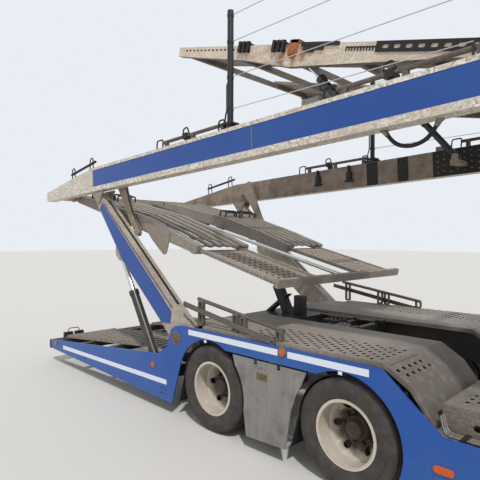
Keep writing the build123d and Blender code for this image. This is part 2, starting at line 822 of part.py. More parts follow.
# Lashing rails on the lower deck: a tube on flat loops, with a sloped bar along the deck's edge
rail_tube_radius = 17
rail_start = (rear_axle_x - 215, 1158)
rail_end = (rear_axle_x + 805, 1003)
rail_y = track_outer_hump - 30
rail_slope = degrees(atan2(rail_end[1] - rail_start[1], rail_end[0] - rail_start[0]))
loop_stations = [rear_axle_x + reach for reach in (-150, 298, 386, 775)]
loop_width = 66
loop_wall = 14
edge_bar_start = (rear_axle_x - 380, 1100)
edge_bar_end = (rear_axle_x + 720, 912)
edge_bar_depth = 46
edge_bar_y = track_outer_hump + 2
edge_bar_thickness = 14
with BuildPart() as lower_rails:
    with BuildSketch(
        Plane(origin=(rail_start[0], -rail_y, rail_start[1]), x_dir=(0, 1, 0),
              z_dir=(cos(radians(rail_slope)), 0, sin(radians(rail_slope))))
    ):
        Circle(rail_tube_radius)
    extrude(amount=hypot(rail_end[0] - rail_start[0], rail_end[1] - rail_start[1]))
    with BuildSketch(side_plane(-rail_y)):
        for x in loop_stations:
            height = line_z(x, *rail_start, *rail_end) - hump_z
            with Locations((x, hump_z + height / 2)):
                RectangleRounded(loop_width, height, 20)
                RectangleRounded(loop_width - 2 * loop_wall, height - 2 * loop_wall, 14, mode=Mode.SUBTRACT)
    extrude(amount=edge_bar_y + 3 - rail_y)
    with BuildSketch(side_plane(-edge_bar_y)):
        with BuildLine():
            Polyline(
                (edge_bar_start[0], edge_bar_start[1] - edge_bar_depth / 2),
                (edge_bar_end[0], edge_bar_end[1] - edge_bar_depth / 2),
                (edge_bar_end[0], edge_bar_end[1] + edge_bar_depth / 2),
                (edge_bar_start[0], edge_bar_start[1] + edge_bar_depth / 2),
                close=True,
            )
        make_face()
        with Locations(edge_bar_end):
            Circle(edge_bar_depth / 2 + 4)
            Circle(11, mode=Mode.SUBTRACT)
    extrude(amount=edge_bar_thickness)
    mirror(about=Plane.XZ)
write(lower_rails, "lower_rails")

# Prop on the centre line below the platform's low end: crossed legs and a post on a base plate
prop_base = (rear_axle_x - 430, rear_axle_x + 160)
prop_base_half = track_inner - 10
prop_base_thickness = 12
prop_foot_z = hump_z - plate_depth + prop_base_thickness
prop_width = 90
prop_thick_leg = [(-183, prop_foot_z), (-83, prop_foot_z), (-226, 1185), (-328, 1185)]
prop_thin_leg = [(-425, prop_foot_z), (-375, prop_foot_z), (-113, 1110), (-158, 1110)]
prop_post = (28, 105, 1107)
prop_bearer_x = rear_axle_x - 295
with BuildPart() as platform_props:
    with BuildSketch(side_plane(prop_base_half)):
        with Locations(((prop_base[0] + prop_base[1]) / 2, prop_foot_z - prop_base_thickness / 2)):
            Rectangle(prop_base[1] - prop_base[0], prop_base_thickness)
    extrude(amount=2 * prop_base_half)
    rail_inner = rail_centre - rail_width / 2
    with BuildSketch(side_plane(rail_inner)):
        with Locations((prop_bearer_x, hump_z - plate_depth - bearer_depth / 2)):
            Rectangle(bearer_width, bearer_depth)
    extrude(amount=2 * rail_inner)
    with BuildSketch(side_plane(prop_width / 2)):
        for leg in (prop_thick_leg, prop_thin_leg):
            with BuildLine():
                Polyline(*[(rear_axle_x + reach, z) for reach, z in leg], close=True)
            make_face()
        post_middle, post_width, post_top_z = prop_post
        with Locations((rear_axle_x + post_middle, (prop_foot_z + post_top_z) / 2)):
            Rectangle(post_width, post_top_z - prop_foot_z)
    extrude(amount=prop_width)
write(platform_props, "platform_props")

# Drawbar: two converging members to a forged eye, and the support leg it parks on
with BuildPart() as drawbar:
    with BuildSketch(Plane.XY.offset(eye_z - 60)):
        with BuildLine():
            Polyline(
                (nose_x, 500), (eye_x - 420, 75), (eye_x - 120, 55), (eye_x - 120, -55),
                (eye_x - 420, -75), (nose_x, -500), (nose_x, -400), (eye_x - 620, 0),
                (nose_x, 400), close=True,
            )
        make_face()
        with Locations((leg_x - leg_tube / 2 - 45, 0)):
            Rectangle(90, 680)
    extrude(amount=120)
    with BuildSketch(Plane.XY.offset(eye_z - 26)):
        with Locations((eye_x, 0)):
            Circle(eye_ring_radius)
        with Locations((eye_x - 80, 0)):
            Rectangle(120, 84)
        with Locations((eye_x, 0)):
            Circle(eye_bore_radius, mode=Mode.SUBTRACT)
    extrude(amount=52)
write(drawbar, "drawbar")

leg_foot_radius = 130
with BuildPart() as support_leg:
    with BuildSketch(Plane.XY):
        with Locations((leg_x, 0)):
            Circle(leg_foot_radius)
    extrude(amount=25)
    with BuildSketch(Plane.XY.offset(25)):
        with Locations((leg_x, 0)):
            Rectangle(70, 70)
    extrude(amount=280)
    with BuildSketch(Plane.XY.offset(305)):
        with Locations((leg_x, 0)):
            Rectangle(leg_tube, leg_tube)
    extrude(amount=555)
write(support_leg, "support_leg")

# Panels between the wheels, hinged along their top edge
for side_name, side in (("right", -1), ("left", 1)):
    with BuildPart() as wheel_door:
        y0 = -half_width if side < 0 else half_width - door_thickness
        with BuildSketch(side_plane(y0 + door_thickness)):
            with BuildLine():
                Polyline(
                    (rear_axle_x + 300, door_top_z - door_gap),
                    (front_axle_x - 300, door_top_z - door_gap),
                    (front_axle_x - 440, tyre_radius + 60),
                    (front_axle_x - 490, door_foot_z + 20),
                    (rear_axle_x + 460, door_foot_z),
                    (rear_axle_x + 420, tyre_radius - 20),
                    close=True,
                )
            make_face()
            for axle_x in (rear_axle_x, front_axle_x):
                with Locations((axle_x, tyre_radius)):
                    Circle(arch_radius, mode=Mode.SUBTRACT)
            # Notches clear the hinge brackets
            notch_width = door_bracket_width + 2 * door_bracket_gap
            notch_foot = door_hinge_z - door_knuckle_radius - 5
            for x in door_hinges:
                with Locations((x, (notch_foot + door_top_z) / 2)):
                    Rectangle(notch_width, door_top_z - notch_foot, mode=Mode.SUBTRACT)
        extrude(amount=door_thickness)
        with BuildSketch(side_plane(side * half_width)):
            with Locations(door_latch):
                RectangleRounded(*door_latch_size, 12)
        extrude(amount=side * door_latch_depth, mode=Mode.SUBTRACT)
        for x in door_hinges:
            for start in (x - door_bracket_width / 2 - door_bracket_gap - door_knuckle_length,
                          x + door_bracket_width / 2 + door_bracket_gap):
                with BuildSketch(cross_plane(start)):
                    with Locations((side * door_hinge_y, door_hinge_z)):
                        Circle(door_knuckle_radius)
                        Circle(door_pin_radius + pin_clearance, mode=Mode.SUBTRACT)
                extrude(amount=door_knuckle_length)
    write(wheel_door, f"wheel_door_{side_name}")

# Lift arms: tapered plate-sided boxes, pinned to the chassis below and to the upper deck above
arm_upper = [(0, 150), (arm_length, 55)]
arm_lower = [(arm_length, -80), (rod_eye_along - 100, -186), (300, -143), (0, -135)]


hole = pin_radius + pin_clearance
fork_starts = (
    arm_outer_y - cylinder_y - fork_gap / 2 - fork_plate,
    arm_outer_y - cylinder_y + fork_gap / 2,
)
arm_table = [("rear_lift_arms", rear_pivot, fork_starts), ("front_lift_arms", front_pivot, ())]
for label, pivot, forks in arm_table:
    with BuildPart() as lift_arms:
        with BuildSketch(arm_plane(pivot, -arm_outer_y)):
            with BuildLine():
                Polyline(*arm_upper, *arm_lower, close=True)
            make_face()
            Circle(135)
            with Locations((arm_length, 0)):
                Circle(arm_eye_radius)
            with Locations((0, 0), (arm_length, 0)):
                Circle(hole, mode=Mode.SUBTRACT)
        extrude(amount=arm_thickness)
        # Fork plates below the rear arms take the cylinder rod's eye
        for start in forks:
            with BuildSketch(arm_plane(pivot, -arm_outer_y + start)):
                with BuildLine():
                    Polyline(
                        (rod_eye_along - 170, -150), (rod_eye_along - 45, -rod_eye_below - 30),
                        (rod_eye_along + 45, -rod_eye_below - 30), (rod_eye_along + 170, -120), close=True,
                    )
                make_face()
            extrude(amount=fork_plate)
        # The arm's underside is open between the fork plates
        if forks:
            with BuildSketch(arm_plane(pivot, -arm_outer_y + fork_starts[0] + fork_plate)):
                with Locations((rod_eye_along, -rod_eye_below)):
                    Rectangle(240, 240)
            extrude(amount=fork_gap, mode=Mode.SUBTRACT)
        mirror(about=Plane.XZ)
    write(lift_arms, label)

with BuildPart() as rear_arm_panels:
    with BuildSketch(arm_plane(rear_pivot, -arm_outer_y - arm_panel_thickness)):
        with BuildLine():
            Polyline(
                (290, 60), (arm_length - 90, 5), (arm_length - 90, -75),
                (rod_eye_along - 100, -180), (330, -138), (230, -40), close=True,
            )
        make_face()
    extrude(amount=arm_panel_thickness)
    mirror(about=Plane.XZ)
write(rear_arm_panels, "rear_arm_panels")


# Cylinders: a barrel with a foot eye and a rod with a head eye, both on one straight line
def cylinder_pair(
    name, foot, head, y, eye_width, radius, length, rod, engaged, foot_eye, head_eye, foot_bore
):
    run = hypot(head[0] - foot[0], head[1] - foot[1])
    ux, uz = (head[0] - foot[0]) / run, (head[1] - foot[1]) / run
    base = Plane(origin=(foot[0], -y, foot[1]), x_dir=(0, 1, 0), z_dir=(ux, 0, uz))
    with BuildPart() as barrel:
        with BuildSketch(base.offset(foot_eye + 10)):
            Circle(radius)
        extrude(amount=length - foot_eye - 10)
        with BuildSketch(base):
            Circle(eye_width / 2 - 4)
        extrude(amount=foot_eye + 20)
        with BuildSketch(side_plane(-y + eye_width / 2)):
            with Locations(foot):
                Circle(foot_eye)
        extrude(amount=eye_width)
        with BuildSketch(base.offset(length - 45)):
            Circle(radius + 6)
        extrude(amount=45)
        with BuildSketch(side_plane(-y + eye_width / 2)):
            with Locations(foot):
                Circle(foot_bore)
        extrude(amount=eye_width, mode=Mode.SUBTRACT)
        with BuildSketch(base.offset(foot_eye + 30)):
            Circle(rod + 1)
        extrude(amount=length - foot_eye - 30, mode=Mode.SUBTRACT)
        mirror(about=Plane.XZ)
    write(barrel, f"{name}_barrels")
    with BuildPart() as rod_part:
        with BuildSketch(base.offset(length - engaged)):
            Circle(rod)
        extrude(amount=run - length + engaged - head_eye + 6)
        with BuildSketch(side_plane(-y + eye_width / 2)):
            with Locations(head):
                Circle(head_eye)
        extrude(amount=eye_width)
        mirror(about=Plane.XZ)
    write(rod_part, f"{name}_rods")


cylinder_foot = (cylinder_foot_x, cylinder_foot_z)
cylinder_pair(
    "lift", cylinder_foot, rod_eye, cylinder_y, fork_gap - 2 * eye_side_gap, barrel_radius, barrel_length,
    rod_radius, lift_rod_engaged, lift_foot_eye, lift_head_eye, foot_pin_radius + foot_bore_clearance,
)

# Upper deck beams, tapered at the tail, with a recess each side for the blue panel
def deck_side_at(y):
    return sloped_side(deck_x, deck_z, deck_slope, y)


panel_start = beam_taper_start
panel_end = beam_nose - 100
panel_foot = beam_lift + panel_margin_bottom
panel_head = beam_lift + beam_depth - panel_margin_top
panel_gap = 4
panel_corner = 30
with BuildPart() as upper_beams:
    with BuildSketch(deck_side_at(-beam_inner_y)):
        with BuildLine():
            Polyline(
                (beam_tail, beam_lift),
                (beam_nose, beam_lift),
                (beam_nose, beam_lift + beam_depth),
                (beam_taper_start, beam_lift + beam_depth),
                (beam_tail, beam_lift + tail_beam_depth),
                close=True,
            )
        make_face()
    extrude(amount=half_width - beam_inner_y)
    with BuildSketch(deck_side_at(-half_width + panel_recess)):
        with Locations(((panel_start + panel_end) / 2, (panel_foot + panel_head) / 2)):
            Rectangle(panel_end - panel_start, panel_head - panel_foot)
    extrude(amount=panel_recess, mode=Mode.SUBTRACT)
    mirror(about=Plane.XZ)
write(upper_beams, "upper_beams")

with BuildPart() as beam_panels:
    with BuildSketch(deck_side_at(-half_width + panel_recess)):
        with Locations(((panel_start + panel_end) / 2, (panel_foot + panel_head) / 2)):
            RectangleRounded(
                panel_end - panel_start - 2 * panel_gap, panel_head - panel_foot - 2, panel_corner
            )
    extrude(amount=panel_thickness)
    mirror(about=Plane.XZ)
write(beam_panels, "beam_panels")

# Deck frame: cross tubes, arm brackets, platform hangers and front tracks
cross_tubes = [-1200, 4900, 5900, 6950]
tray_bracket_reach = 255
tray_bracket_depth = 45
tray_bracket_top = tray_foot_up - tray_foot_eye - 3
front_track_start = 4640
front_track_end = 7000
lug_side_gap = 4
lug_root = 130
lug_tip = 45
lug_foot = -20
lug_radius = 52
arm_inner_y = arm_outer_y - arm_thickness
lug_plates = [(arm_inner_y - lug_side_gap - 20, 20), (arm_outer_y + lug_side_gap, 16)]
hanger_root = 72
hanger_plate = 10
hanger_gap = 22
hanger_inner_y = beam_inner_y - hanger_root
hanger_top = (250, 340)
hanger_foot = (600, -425)
hanger_boss_radius = 44
hanger_pin_radius = 28
with BuildPart() as deck_frame:
    for along in cross_tubes:
        with BuildSketch(deck_side_at(beam_inner_y)):
            with Locations((along, beam_lift + cross_tube_depth / 2 + 5)):
                Rectangle(cross_tube_width, cross_tube_depth)
        extrude(amount=2 * beam_inner_y)
    for along in (0, arm_span):
        for inner, thickness in lug_plates:
            with BuildSketch(deck_side_at(-inner)):
                with BuildLine():
                    Polyline(
                        (along - lug_root, beam_lift), (along - lug_tip, lug_foot),
                        (along + lug_tip, lug_foot), (along + lug_root, beam_lift), close=True,
                    )
                make_face()
                with Locations((along, 0)):
                    Circle(lug_radius)
            extrude(amount=thickness)
        with BuildSketch(deck_side_at(-arm_inner_y + lug_side_gap)):
            with Locations((along, 0)):
                Circle(pin_radius)
        extrude(amount=arm_thickness + 2 * lug_side_gap)
    # Hangers of two curved plates, pinned to the beam above, carry the platform's low position
    for inner in (hanger_inner_y, hanger_inner_y + hanger_plate + hanger_gap):
        with BuildSketch(deck_side_at(-inner)):
            with BuildLine():
                Spline((204, 120), (290, 0), (374, -141), (hanger_foot[0] - 45, hanger_foot[1] + 10))
                Line((hanger_foot[0] - 45, hanger_foot[1] + 10), (hanger_foot[0] + 40, hanger_foot[1] + 25))
                Spline((hanger_foot[0] + 40, hanger_foot[1] + 25), (475, -148), (400, 30), (339, 220))
                Polyline(
                    (339, 220),
                    (hanger_top[0] + 40, hanger_top[1]),
                    (hanger_top[0] - 30, hanger_top[1] + 28),
                    (76, 262),
                    (76, 236),
                    (130, 215),
                    (204, 120),
                )
            make_face()
            with Locations(hanger_top):
                Circle(hanger_boss_radius)
            with Locations(hanger_foot):
                Circle(hanger_boss_radius)
        extrude(amount=hanger_plate)
    with BuildSketch(deck_side_at(-hanger_inner_y - hanger_plate / 2)):
        with Locations(hanger_foot):
            Circle(hanger_pin_radius)
    extrude(amount=hanger_plate + hanger_gap)
    with BuildSketch(deck_side_at(-hanger_inner_y - hanger_plate / 2)):
        with Locations((hanger_top[0], hanger_top[1] - 12)):
            Circle(hanger_pin_radius)
    extrude(amount=hanger_root - hanger_plate / 2)
    # Hinge lugs and pins for the platform and the tray
    for pivot, inner in ((platform_axis, platform_half_width), (tray_axis, tray_half_width)):
        with BuildSketch(side_plane(-beam_inner_y + 24)):
            with Locations(pivot):
                Circle(52)
        extrude(amount=24)
        with BuildSketch(side_plane(-inner + 48)):
            with Locations(pivot):
                Circle(hinge_pin_radius)
        extrude(amount=beam_inner_y - inner + 40)
    # Brackets with clevises for the tray cylinders' feet
    with BuildSketch(deck_side_at(-beam_inner_y + tray_bracket_reach)):
        with Locations((tray_foot_along, tray_bracket_top - tray_bracket_depth / 2)):
            Rectangle(cross_tube_width, tray_bracket_depth)
    extrude(amount=tray_bracket_reach)
    for y in (tray_cylinder_y - tray_clevis, tray_cylinder_y + tray_clevis - tray_clevis_plate):
        with BuildSketch(deck_side_at(-y)):
            with Locations((tray_foot_along, tray_foot_up)):
                Circle(tray_clevis_radius)
            with Locations((tray_foot_along, (tray_foot_up + tray_bracket_top) / 2)):
                Rectangle(2 * tray_clevis_radius, tray_foot_up - tray_bracket_top)
        extrude(amount=tray_clevis_plate)
    with BuildSketch(deck_side_at(-tray_cylinder_y + tray_clevis)):
        with Locations((tray_foot_along, tray_foot_up)):
            Circle(tray_pin_radius)
    extrude(amount=2 * tray_clevis)
    # Front tracks on the cross tubes
    with BuildSketch(sloped_top(deck_x, deck_z, deck_slope).offset(beam_lift + cross_tube_depth + 5)):
        with Locations(((front_track_start + front_track_end) / 2, -700)):
            Rectangle(front_track_end - front_track_start, 620)
    extrude(amount=plate_depth)
    mirror(about=Plane.XZ)
write(deck_frame, "deck_frame")

# Upper lashing rails and guard posts with their wires
upper_rail_table = [(1240, 2190), (3300, 4300)]
upper_rail_y = half_width - 80
with BuildPart() as upper_rails:
    for start, end in upper_rail_table:
        with BuildSketch(
            Plane(
                origin=(deck_x + start * slope_c, -upper_rail_y, deck_z + start * slope_s),
                x_dir=(0, 1, 0), z_dir=(slope_c, 0, slope_s),
            )
        ):
            with Locations((0, beam_lift + beam_depth + 70)):
                Circle(rail_tube_radius)
        extrude(amount=end - start)
        with BuildSketch(deck_side_at(-upper_rail_y + 15)):
            for along in (start + 60, (start + end) / 2, end - 60):
                with Locations((along, beam_lift + beam_depth + 35)):
                    Rectangle(40, 70)
        extrude(amount=30)
    mirror(about=Plane.XZ)
write(upper_rails, "upper_rails")

post_alongs = [2235, 4680, 7020]
post_height = 1015
post_radius = 27
post_collar_radius = 40
post_collar_height = 52
wire_radius = 3
wire_gap = 0.3
wire_heights = [177, 451, 752, 980]
with BuildPart() as guard_posts:
    for along in post_alongs:
        base_x = deck_x + along * slope_c - (beam_lift + beam_depth) * slope_s
        base_z = deck_z + along * slope_s + (beam_lift + beam_depth) * slope_c
        with BuildSketch(Plane.XY.offset(base_z + 8)):
            with Locations((base_x, -beam_middle_y)):
                Circle(post_radius)
        extrude(amount=post_height)
        with BuildSketch(sloped_top(deck_x, deck_z, deck_slope).offset(beam_lift + beam_depth)):
            with Locations((along, -beam_middle_y)):
                Rectangle(110, 90)
        extrude(amount=14)
        with BuildSketch(Plane.XY.offset(base_z + 8)):
            with Locations((base_x, -beam_middle_y)):
                Circle(post_collar_radius)
        extrude(amount=post_collar_height)
    # The wires run from post to post, level to the second and then along the deck
    top_up = beam_lift + beam_depth
    post_tops = [
        (deck_x + along * slope_c - top_up * slope_s, deck_z + along * slope_s + top_up * slope_c)
        for along in post_alongs
    ]
    rise = post_tops[2][1] - post_tops[1][1]
    for height in wire_heights:
        wire_z = post_tops[0][1] + height
        for (x0, z0), (x1, z1) in (
            ((post_tops[0][0], wire_z), (post_tops[1][0], wire_z)),
            ((post_tops[1][0], wire_z), (post_tops[2][0], wire_z + rise)),
        ):
            run = hypot(x1 - x0, z1 - z0)
            along_x, along_z = (x1 - x0) / run, (z1 - z0) / run
            start = post_radius + wire_gap
            with BuildSketch(
                Plane(
                    origin=(x0 + start * along_x, -beam_middle_y, z0 + start * along_z),
                    x_dir=(0, 1, 0), z_dir=(along_x, 0, along_z),
                )
            ):
                Circle(wire_radius)
            extrude(amount=run - 2 * start)
    mirror(about=Plane.XZ)
write(guard_posts, "guard_posts")

# Tilting platform: two ribbed tracks on side members, hinged at the deck's tail
def platform_side_at(y):
    return sloped_side(platform_hinge_x, platform_hinge_z, -platform_slope, y)


platform_top = sloped_top(platform_hinge_x, platform_hinge_z, -platform_slope)
slat_count = 6
gusset_thickness = 12
slat_width = 55
platform_crown = [(-60, 0), (1434, 70), (2103, 40), (platform_length, 0)]


def crown_at(along):
    for (a0, u0), (a1, u1) in zip(platform_crown, platform_crown[1:]):
        if a0 <= along <= a1:
            return line_z(along, a0, u0, a1, u1)


slat_line = [(100, crown_at(100)), *platform_crown[1:]]
track_width = platform_half_width - platform_track_inner
track_middle = (platform_track_inner + platform_half_width) / 2
centre_bearers = (260, 1400)
bearer_top = 2 * slide_barrel_radius + 2
with BuildPart() as platform_frame:
    for inner in (platform_track_inner, platform_half_width - platform_member):
        with BuildSketch(platform_side_at(-inner)):
            with BuildLine():
                Polyline(
                    (-60, -platform_depth + 10), *platform_crown,
                    (platform_length, -platform_depth + 10), (0, -platform_depth), close=True,
                )
            make_face()
            with Locations((0, -hinge_drop)):
                Circle(hinge_pin_radius + pin_clearance, mode=Mode.SUBTRACT)
        extrude(amount=platform_member)
    # Hooked gussets below the outer members
    with BuildSketch(platform_side_at(-platform_half_width)):
        with BuildLine():
            Spline((1640, -40), (1770, -107), (1883, -163), (1987, -204), (2053, -230))
            ThreePointArc((2053, -230), (2085, -222), (2100, -195))
            Polyline((2100, -195), (2111, -143), (2111, 20), (1640, 20), (1640, -40))
        make_face()
    extrude(amount=gusset_thickness)
    for i in range(slat_count):
        y = platform_track_inner + track_width * (i + 0.5) / slat_count
        with BuildSketch(platform_side_at(-y + slat_width / 2)):
            with BuildLine():
                Polyline(
                    *slat_line,
                    *[(along, up - platform_slat_depth) for along, up in reversed(slat_line)],
                    close=True,
                )
            make_face()
        extrude(amount=slat_width)
    for along in (130, 700, 1350, 1950, platform_length - 60):
        with BuildSketch(platform_top.offset(-platform_depth)):
            with Locations((along, -track_middle)):
                Rectangle(60, track_width)
        extrude(amount=platform_depth - bearer_top)
        with BuildSketch(platform_top.offset(crown_at(along) - platform_slat_depth - 8)):
            with Locations((along, -track_middle)):
                Rectangle(40, track_width)
        extrude(amount=9)
    mirror(about=Plane.XZ)
    for along in centre_bearers:
        with BuildSketch(platform_top.offset(-platform_depth)):
            with Locations((along, 0)):
                Rectangle(80, 2 * platform_track_inner + 2 * platform_member)
        extrude(amount=platform_depth - bearer_top)
write(platform_frame, "platform_frame")

end_plate_thickness = 20
end_grid_margin = 50
end_slot = (46, 24)
end_slot_pitch = (74, 76)
end_plate_start = platform_length + 30
end_plate_width = track_width - 2 * platform_member - 2 * slide_gap
end_plate_middle = (end_plate_start + slide_end) / 2
end_grid_size = (slide_end - end_plate_start - 2 * end_grid_margin, end_plate_width - 2 * end_grid_margin)
end_top = platform_top.offset(-bearer_top + slide_gap + end_plate_thickness)
with BuildPart() as platform_end:
    slide_top = -platform_slat_depth - 8 - 5
    for inner in (platform_track_inner + platform_member + slide_gap,
                  platform_half_width - platform_member - slide_gap - slide_member):
        with BuildSketch(platform_side_at(-inner)):
            with BuildLine():
                Polyline(
                    (slide_start, -bearer_top + slide_gap), (slide_start, slide_top),
                    (slide_end, slide_top), (slide_end, -bearer_top + slide_gap), close=True,
                )
            make_face()
        extrude(amount=slide_member)
    with BuildSketch(end_top):
        with Locations((end_plate_middle, -track_middle)):
            Rectangle(slide_end - end_plate_start, end_plate_width)
            Rectangle(*end_grid_size, mode=Mode.SUBTRACT)
    extrude(amount=-end_plate_thickness)
    mirror(about=Plane.XZ)
    with BuildSketch(platform_top.offset(-bearer_top)):
        with Locations((slide_end + 20, 0)):
            Rectangle(40, 2 * platform_half_width)
    extrude(amount=bearer_top)
write(platform_end, "platform_end")

# Slotted plates lie in the sliding end's windows
with BuildPart() as end_grids:
    with BuildSketch(end_top):
        with Locations((end_plate_middle, -track_middle)):
            Rectangle(*end_grid_size)
            with GridLocations(*end_slot_pitch, 11, 5):
                SlotOverall(*end_slot, mode=Mode.SUBTRACT)
    extrude(amount=-grid_thickness)
    mirror(about=Plane.XZ)
write(end_grids, "end_grids")

# Slide cylinder between the tracks: barrel on the frame, rod on the sliding end
barrel_middle = Plane(
    origin=(
        platform_hinge_x - (bearer_top - slide_barrel_radius) * platform_s,
        0,
        platform_hinge_z - (bearer_top - slide_barrel_radius) * platform_c,
    ),
    x_dir=(0, 1, 0), z_dir=(platform_c, 0, -platform_s),
)
with BuildPart() as slide_barrel:
    with BuildSketch(barrel_middle.offset(slide_barrel_start - 80)):
        Circle(slide_barrel_radius)
    extrude(amount=slide_barrel_end - slide_barrel_start + 80)
    with BuildSketch(barrel_middle.offset(slide_barrel_start)):
        Circle(slide_rod_radius + 1)
    extrude(amount=slide_barrel_end - slide_barrel_start, mode=Mode.SUBTRACT)
write(slide_barrel, "slide_barrel")

with BuildPart() as slide_rod:
    with BuildSketch(barrel_middle.offset(slide_barrel_end - 180)):
        Circle(slide_rod_radius)
    extrude(amount=slide_end - slide_barrel_end + 180)
write(slide_rod, "slide_rod")


# Top tray: deep side members with a knee, thin tracks and cross members
def tray_side_at(y):
    return sloped_side(tray_hinge_x, tray_hinge_z, -tray_slope, y)


tray_top = sloped_top(tray_hinge_x, tray_hinge_z, -tray_slope)
tray_groove = 42
tray_lug = 18
tray_inner_y = tray_half_width - tray_web - tray_member
tray_cross_members = (-200, -900, -1500, -2150, -2750, -3380)
with BuildPart() as tray_frame:
    with BuildSketch(tray_side_at(-tray_inner_y)):
        with BuildLine():
            Polyline((50, 0), (-tray_length, 0), *tray_outline, close=True)
        make_face()
        with Locations((0, -tray_hinge_drop)):
            Circle(hinge_pin_radius + pin_clearance, mode=Mode.SUBTRACT)
    extrude(amount=tray_member)
    # The members are open behind the slotted webs
    with BuildSketch(tray_side_at(-tray_half_width + tray_web + tray_groove)):
        with Locations((-tray_length / 2 - 100, -12 - tray_groove / 2)):
            Rectangle(tray_length - 260, tray_groove)
    extrude(amount=tray_groove, mode=Mode.SUBTRACT)
    # Lugs beside the rods' eyes
    with BuildSketch(side_plane(-tray_inner_y + tray_lug)):
        with Locations(tray_eye):
            Circle(tray_clevis_radius)
    extrude(amount=tray_lug)
    mirror(about=Plane.XZ)
    for along in tray_cross_members:
        with BuildSketch(tray_top.offset(-70)):
            with Locations((along, 0)):
                Rectangle(60, 2 * tray_inner_y + 10)
        extrude(amount=50)
write(tray_frame, "tray_frame")

tray_slot = (32, 17)
tray_slot_drop = 33
tray_slots = (-2930, 14, 58)
with BuildPart() as tray_sides:
    with BuildSketch(tray_side_at(-tray_half_width + tray_web)):
        with BuildLine():
            Polyline((50, 0), (-tray_length, 0), *tray_outline, close=True)
        make_face()
        with Locations((0, -tray_hinge_drop)):
            Circle(hinge_pin_radius + pin_clearance, mode=Mode.SUBTRACT)
        slot_middle, slot_count, slot_pitch = tray_slots
        with Locations((slot_middle, -tray_slot_drop)):
            with GridLocations(slot_pitch, 1, slot_count, 1):
                SlotOverall(*tray_slot, mode=Mode.SUBTRACT)
    extrude(amount=tray_web)
    mirror(about=Plane.XZ)
write(tray_sides, "tray_sides")

# Slotted edge plates on the outside of the tray's front part
edge_plate = (1090, 72)
edge_plate_end = -60
edge_plate_slot = (52, 26)
edge_plate_slots = (12, 86)
with BuildPart() as tray_edges:
    with BuildSketch(tray_side_at(-tray_half_width)):
        with Locations((edge_plate_end - edge_plate[0] / 2, -edge_plate[1] / 2)):
            Rectangle(*edge_plate)
            with GridLocations(edge_plate_slots[1], 1, edge_plate_slots[0], 1):
                SlotOverall(*edge_plate_slot, mode=Mode.SUBTRACT)
    extrude(amount=tray_web)
    mirror(about=Plane.XZ)
write(tray_edges, "tray_edges")

tray_track_thickness = 30
with BuildPart() as tray_tracks:
    with BuildSketch(tray_top.offset(-20)):
        with Locations((-tray_length / 2, -690), (-tray_length / 2, 690)):
            Rectangle(tray_length - 20, 560)
    extrude(amount=tray_track_thickness)
write(tray_tracks, "tray_tracks")

cylinder_pair(
    "tray", tray_foot, tray_eye, tray_cylinder_y, tray_eye_width, tray_barrel_radius, tray_barrel_length,
    tray_rod_radius, tray_rod_engaged, tray_foot_eye, tray_head_eye, tray_pin_radius + foot_bore_clearance,
)
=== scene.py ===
import json
import math

import bmesh
import bpy
from mathutils import Matrix, Vector


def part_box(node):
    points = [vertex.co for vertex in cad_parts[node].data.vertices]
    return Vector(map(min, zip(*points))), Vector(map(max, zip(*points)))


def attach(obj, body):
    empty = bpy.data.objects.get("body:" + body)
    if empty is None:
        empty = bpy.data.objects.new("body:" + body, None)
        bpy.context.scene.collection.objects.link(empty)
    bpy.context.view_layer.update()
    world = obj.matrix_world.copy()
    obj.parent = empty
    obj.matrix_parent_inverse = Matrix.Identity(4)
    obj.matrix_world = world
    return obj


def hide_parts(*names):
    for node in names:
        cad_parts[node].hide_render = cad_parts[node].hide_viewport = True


# Two-axle car transporter trailer. +X forwards, +Y left, +Z up, metres, ground at Z = 0.
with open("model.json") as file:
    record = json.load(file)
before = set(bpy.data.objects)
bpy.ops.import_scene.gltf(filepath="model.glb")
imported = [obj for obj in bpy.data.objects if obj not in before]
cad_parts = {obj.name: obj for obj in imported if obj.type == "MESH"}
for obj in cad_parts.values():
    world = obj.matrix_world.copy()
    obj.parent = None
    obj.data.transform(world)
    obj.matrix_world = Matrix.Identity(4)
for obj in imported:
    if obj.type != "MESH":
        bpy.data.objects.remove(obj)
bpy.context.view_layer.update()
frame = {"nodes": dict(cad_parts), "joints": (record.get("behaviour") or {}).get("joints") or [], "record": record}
print("frame loaded")

collection = bpy.context.scene.collection
rearAxleX = sum(v[0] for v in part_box("wheel_rear_right")) / 2
frontAxleX = sum(v[0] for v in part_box("wheel_front_right")) / 2
axleZ = sum(v[2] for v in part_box("wheel_rear_right")) / 2
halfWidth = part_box("side_skirts")[1][1]
jointPlace = {item["name"]: Vector(item["pos_m"]) for item in frame["joints"] if "pos_m" in item}
deckSlope = math.radians(2.16)
traySlope = math.radians(-15)
platformSlope = math.radians(-14.5)


# Materials

colourMix = {"data_type": "RGBA"}


def hexColour(code):
    # sRGB hex to the linear values that Blender's sockets take
    values = [int(code[i:i + 2], 16) / 255 for i in (1, 3, 5)]
    return [v / 12.92 if v <= 0.04045 else ((v + 0.055) / 1.055) ** 2.4 for v in values] + [1.0]


def addNode(tree, kind, settings=None, links=None):
    # links: input socket -> output socket, value or hex colour
    item = tree.nodes.new(kind)
    for key, value in (settings or {}).items():
        setattr(item, key, value)
    for key, value in (links or {}).items():
        socket = item.inputs[key]
        if isinstance(value, bpy.types.NodeSocket):
            tree.links.new(value, socket)
        elif isinstance(value, str):
            socket.default_value = hexColour(value)
        else:
            socket.default_value = value
    return item


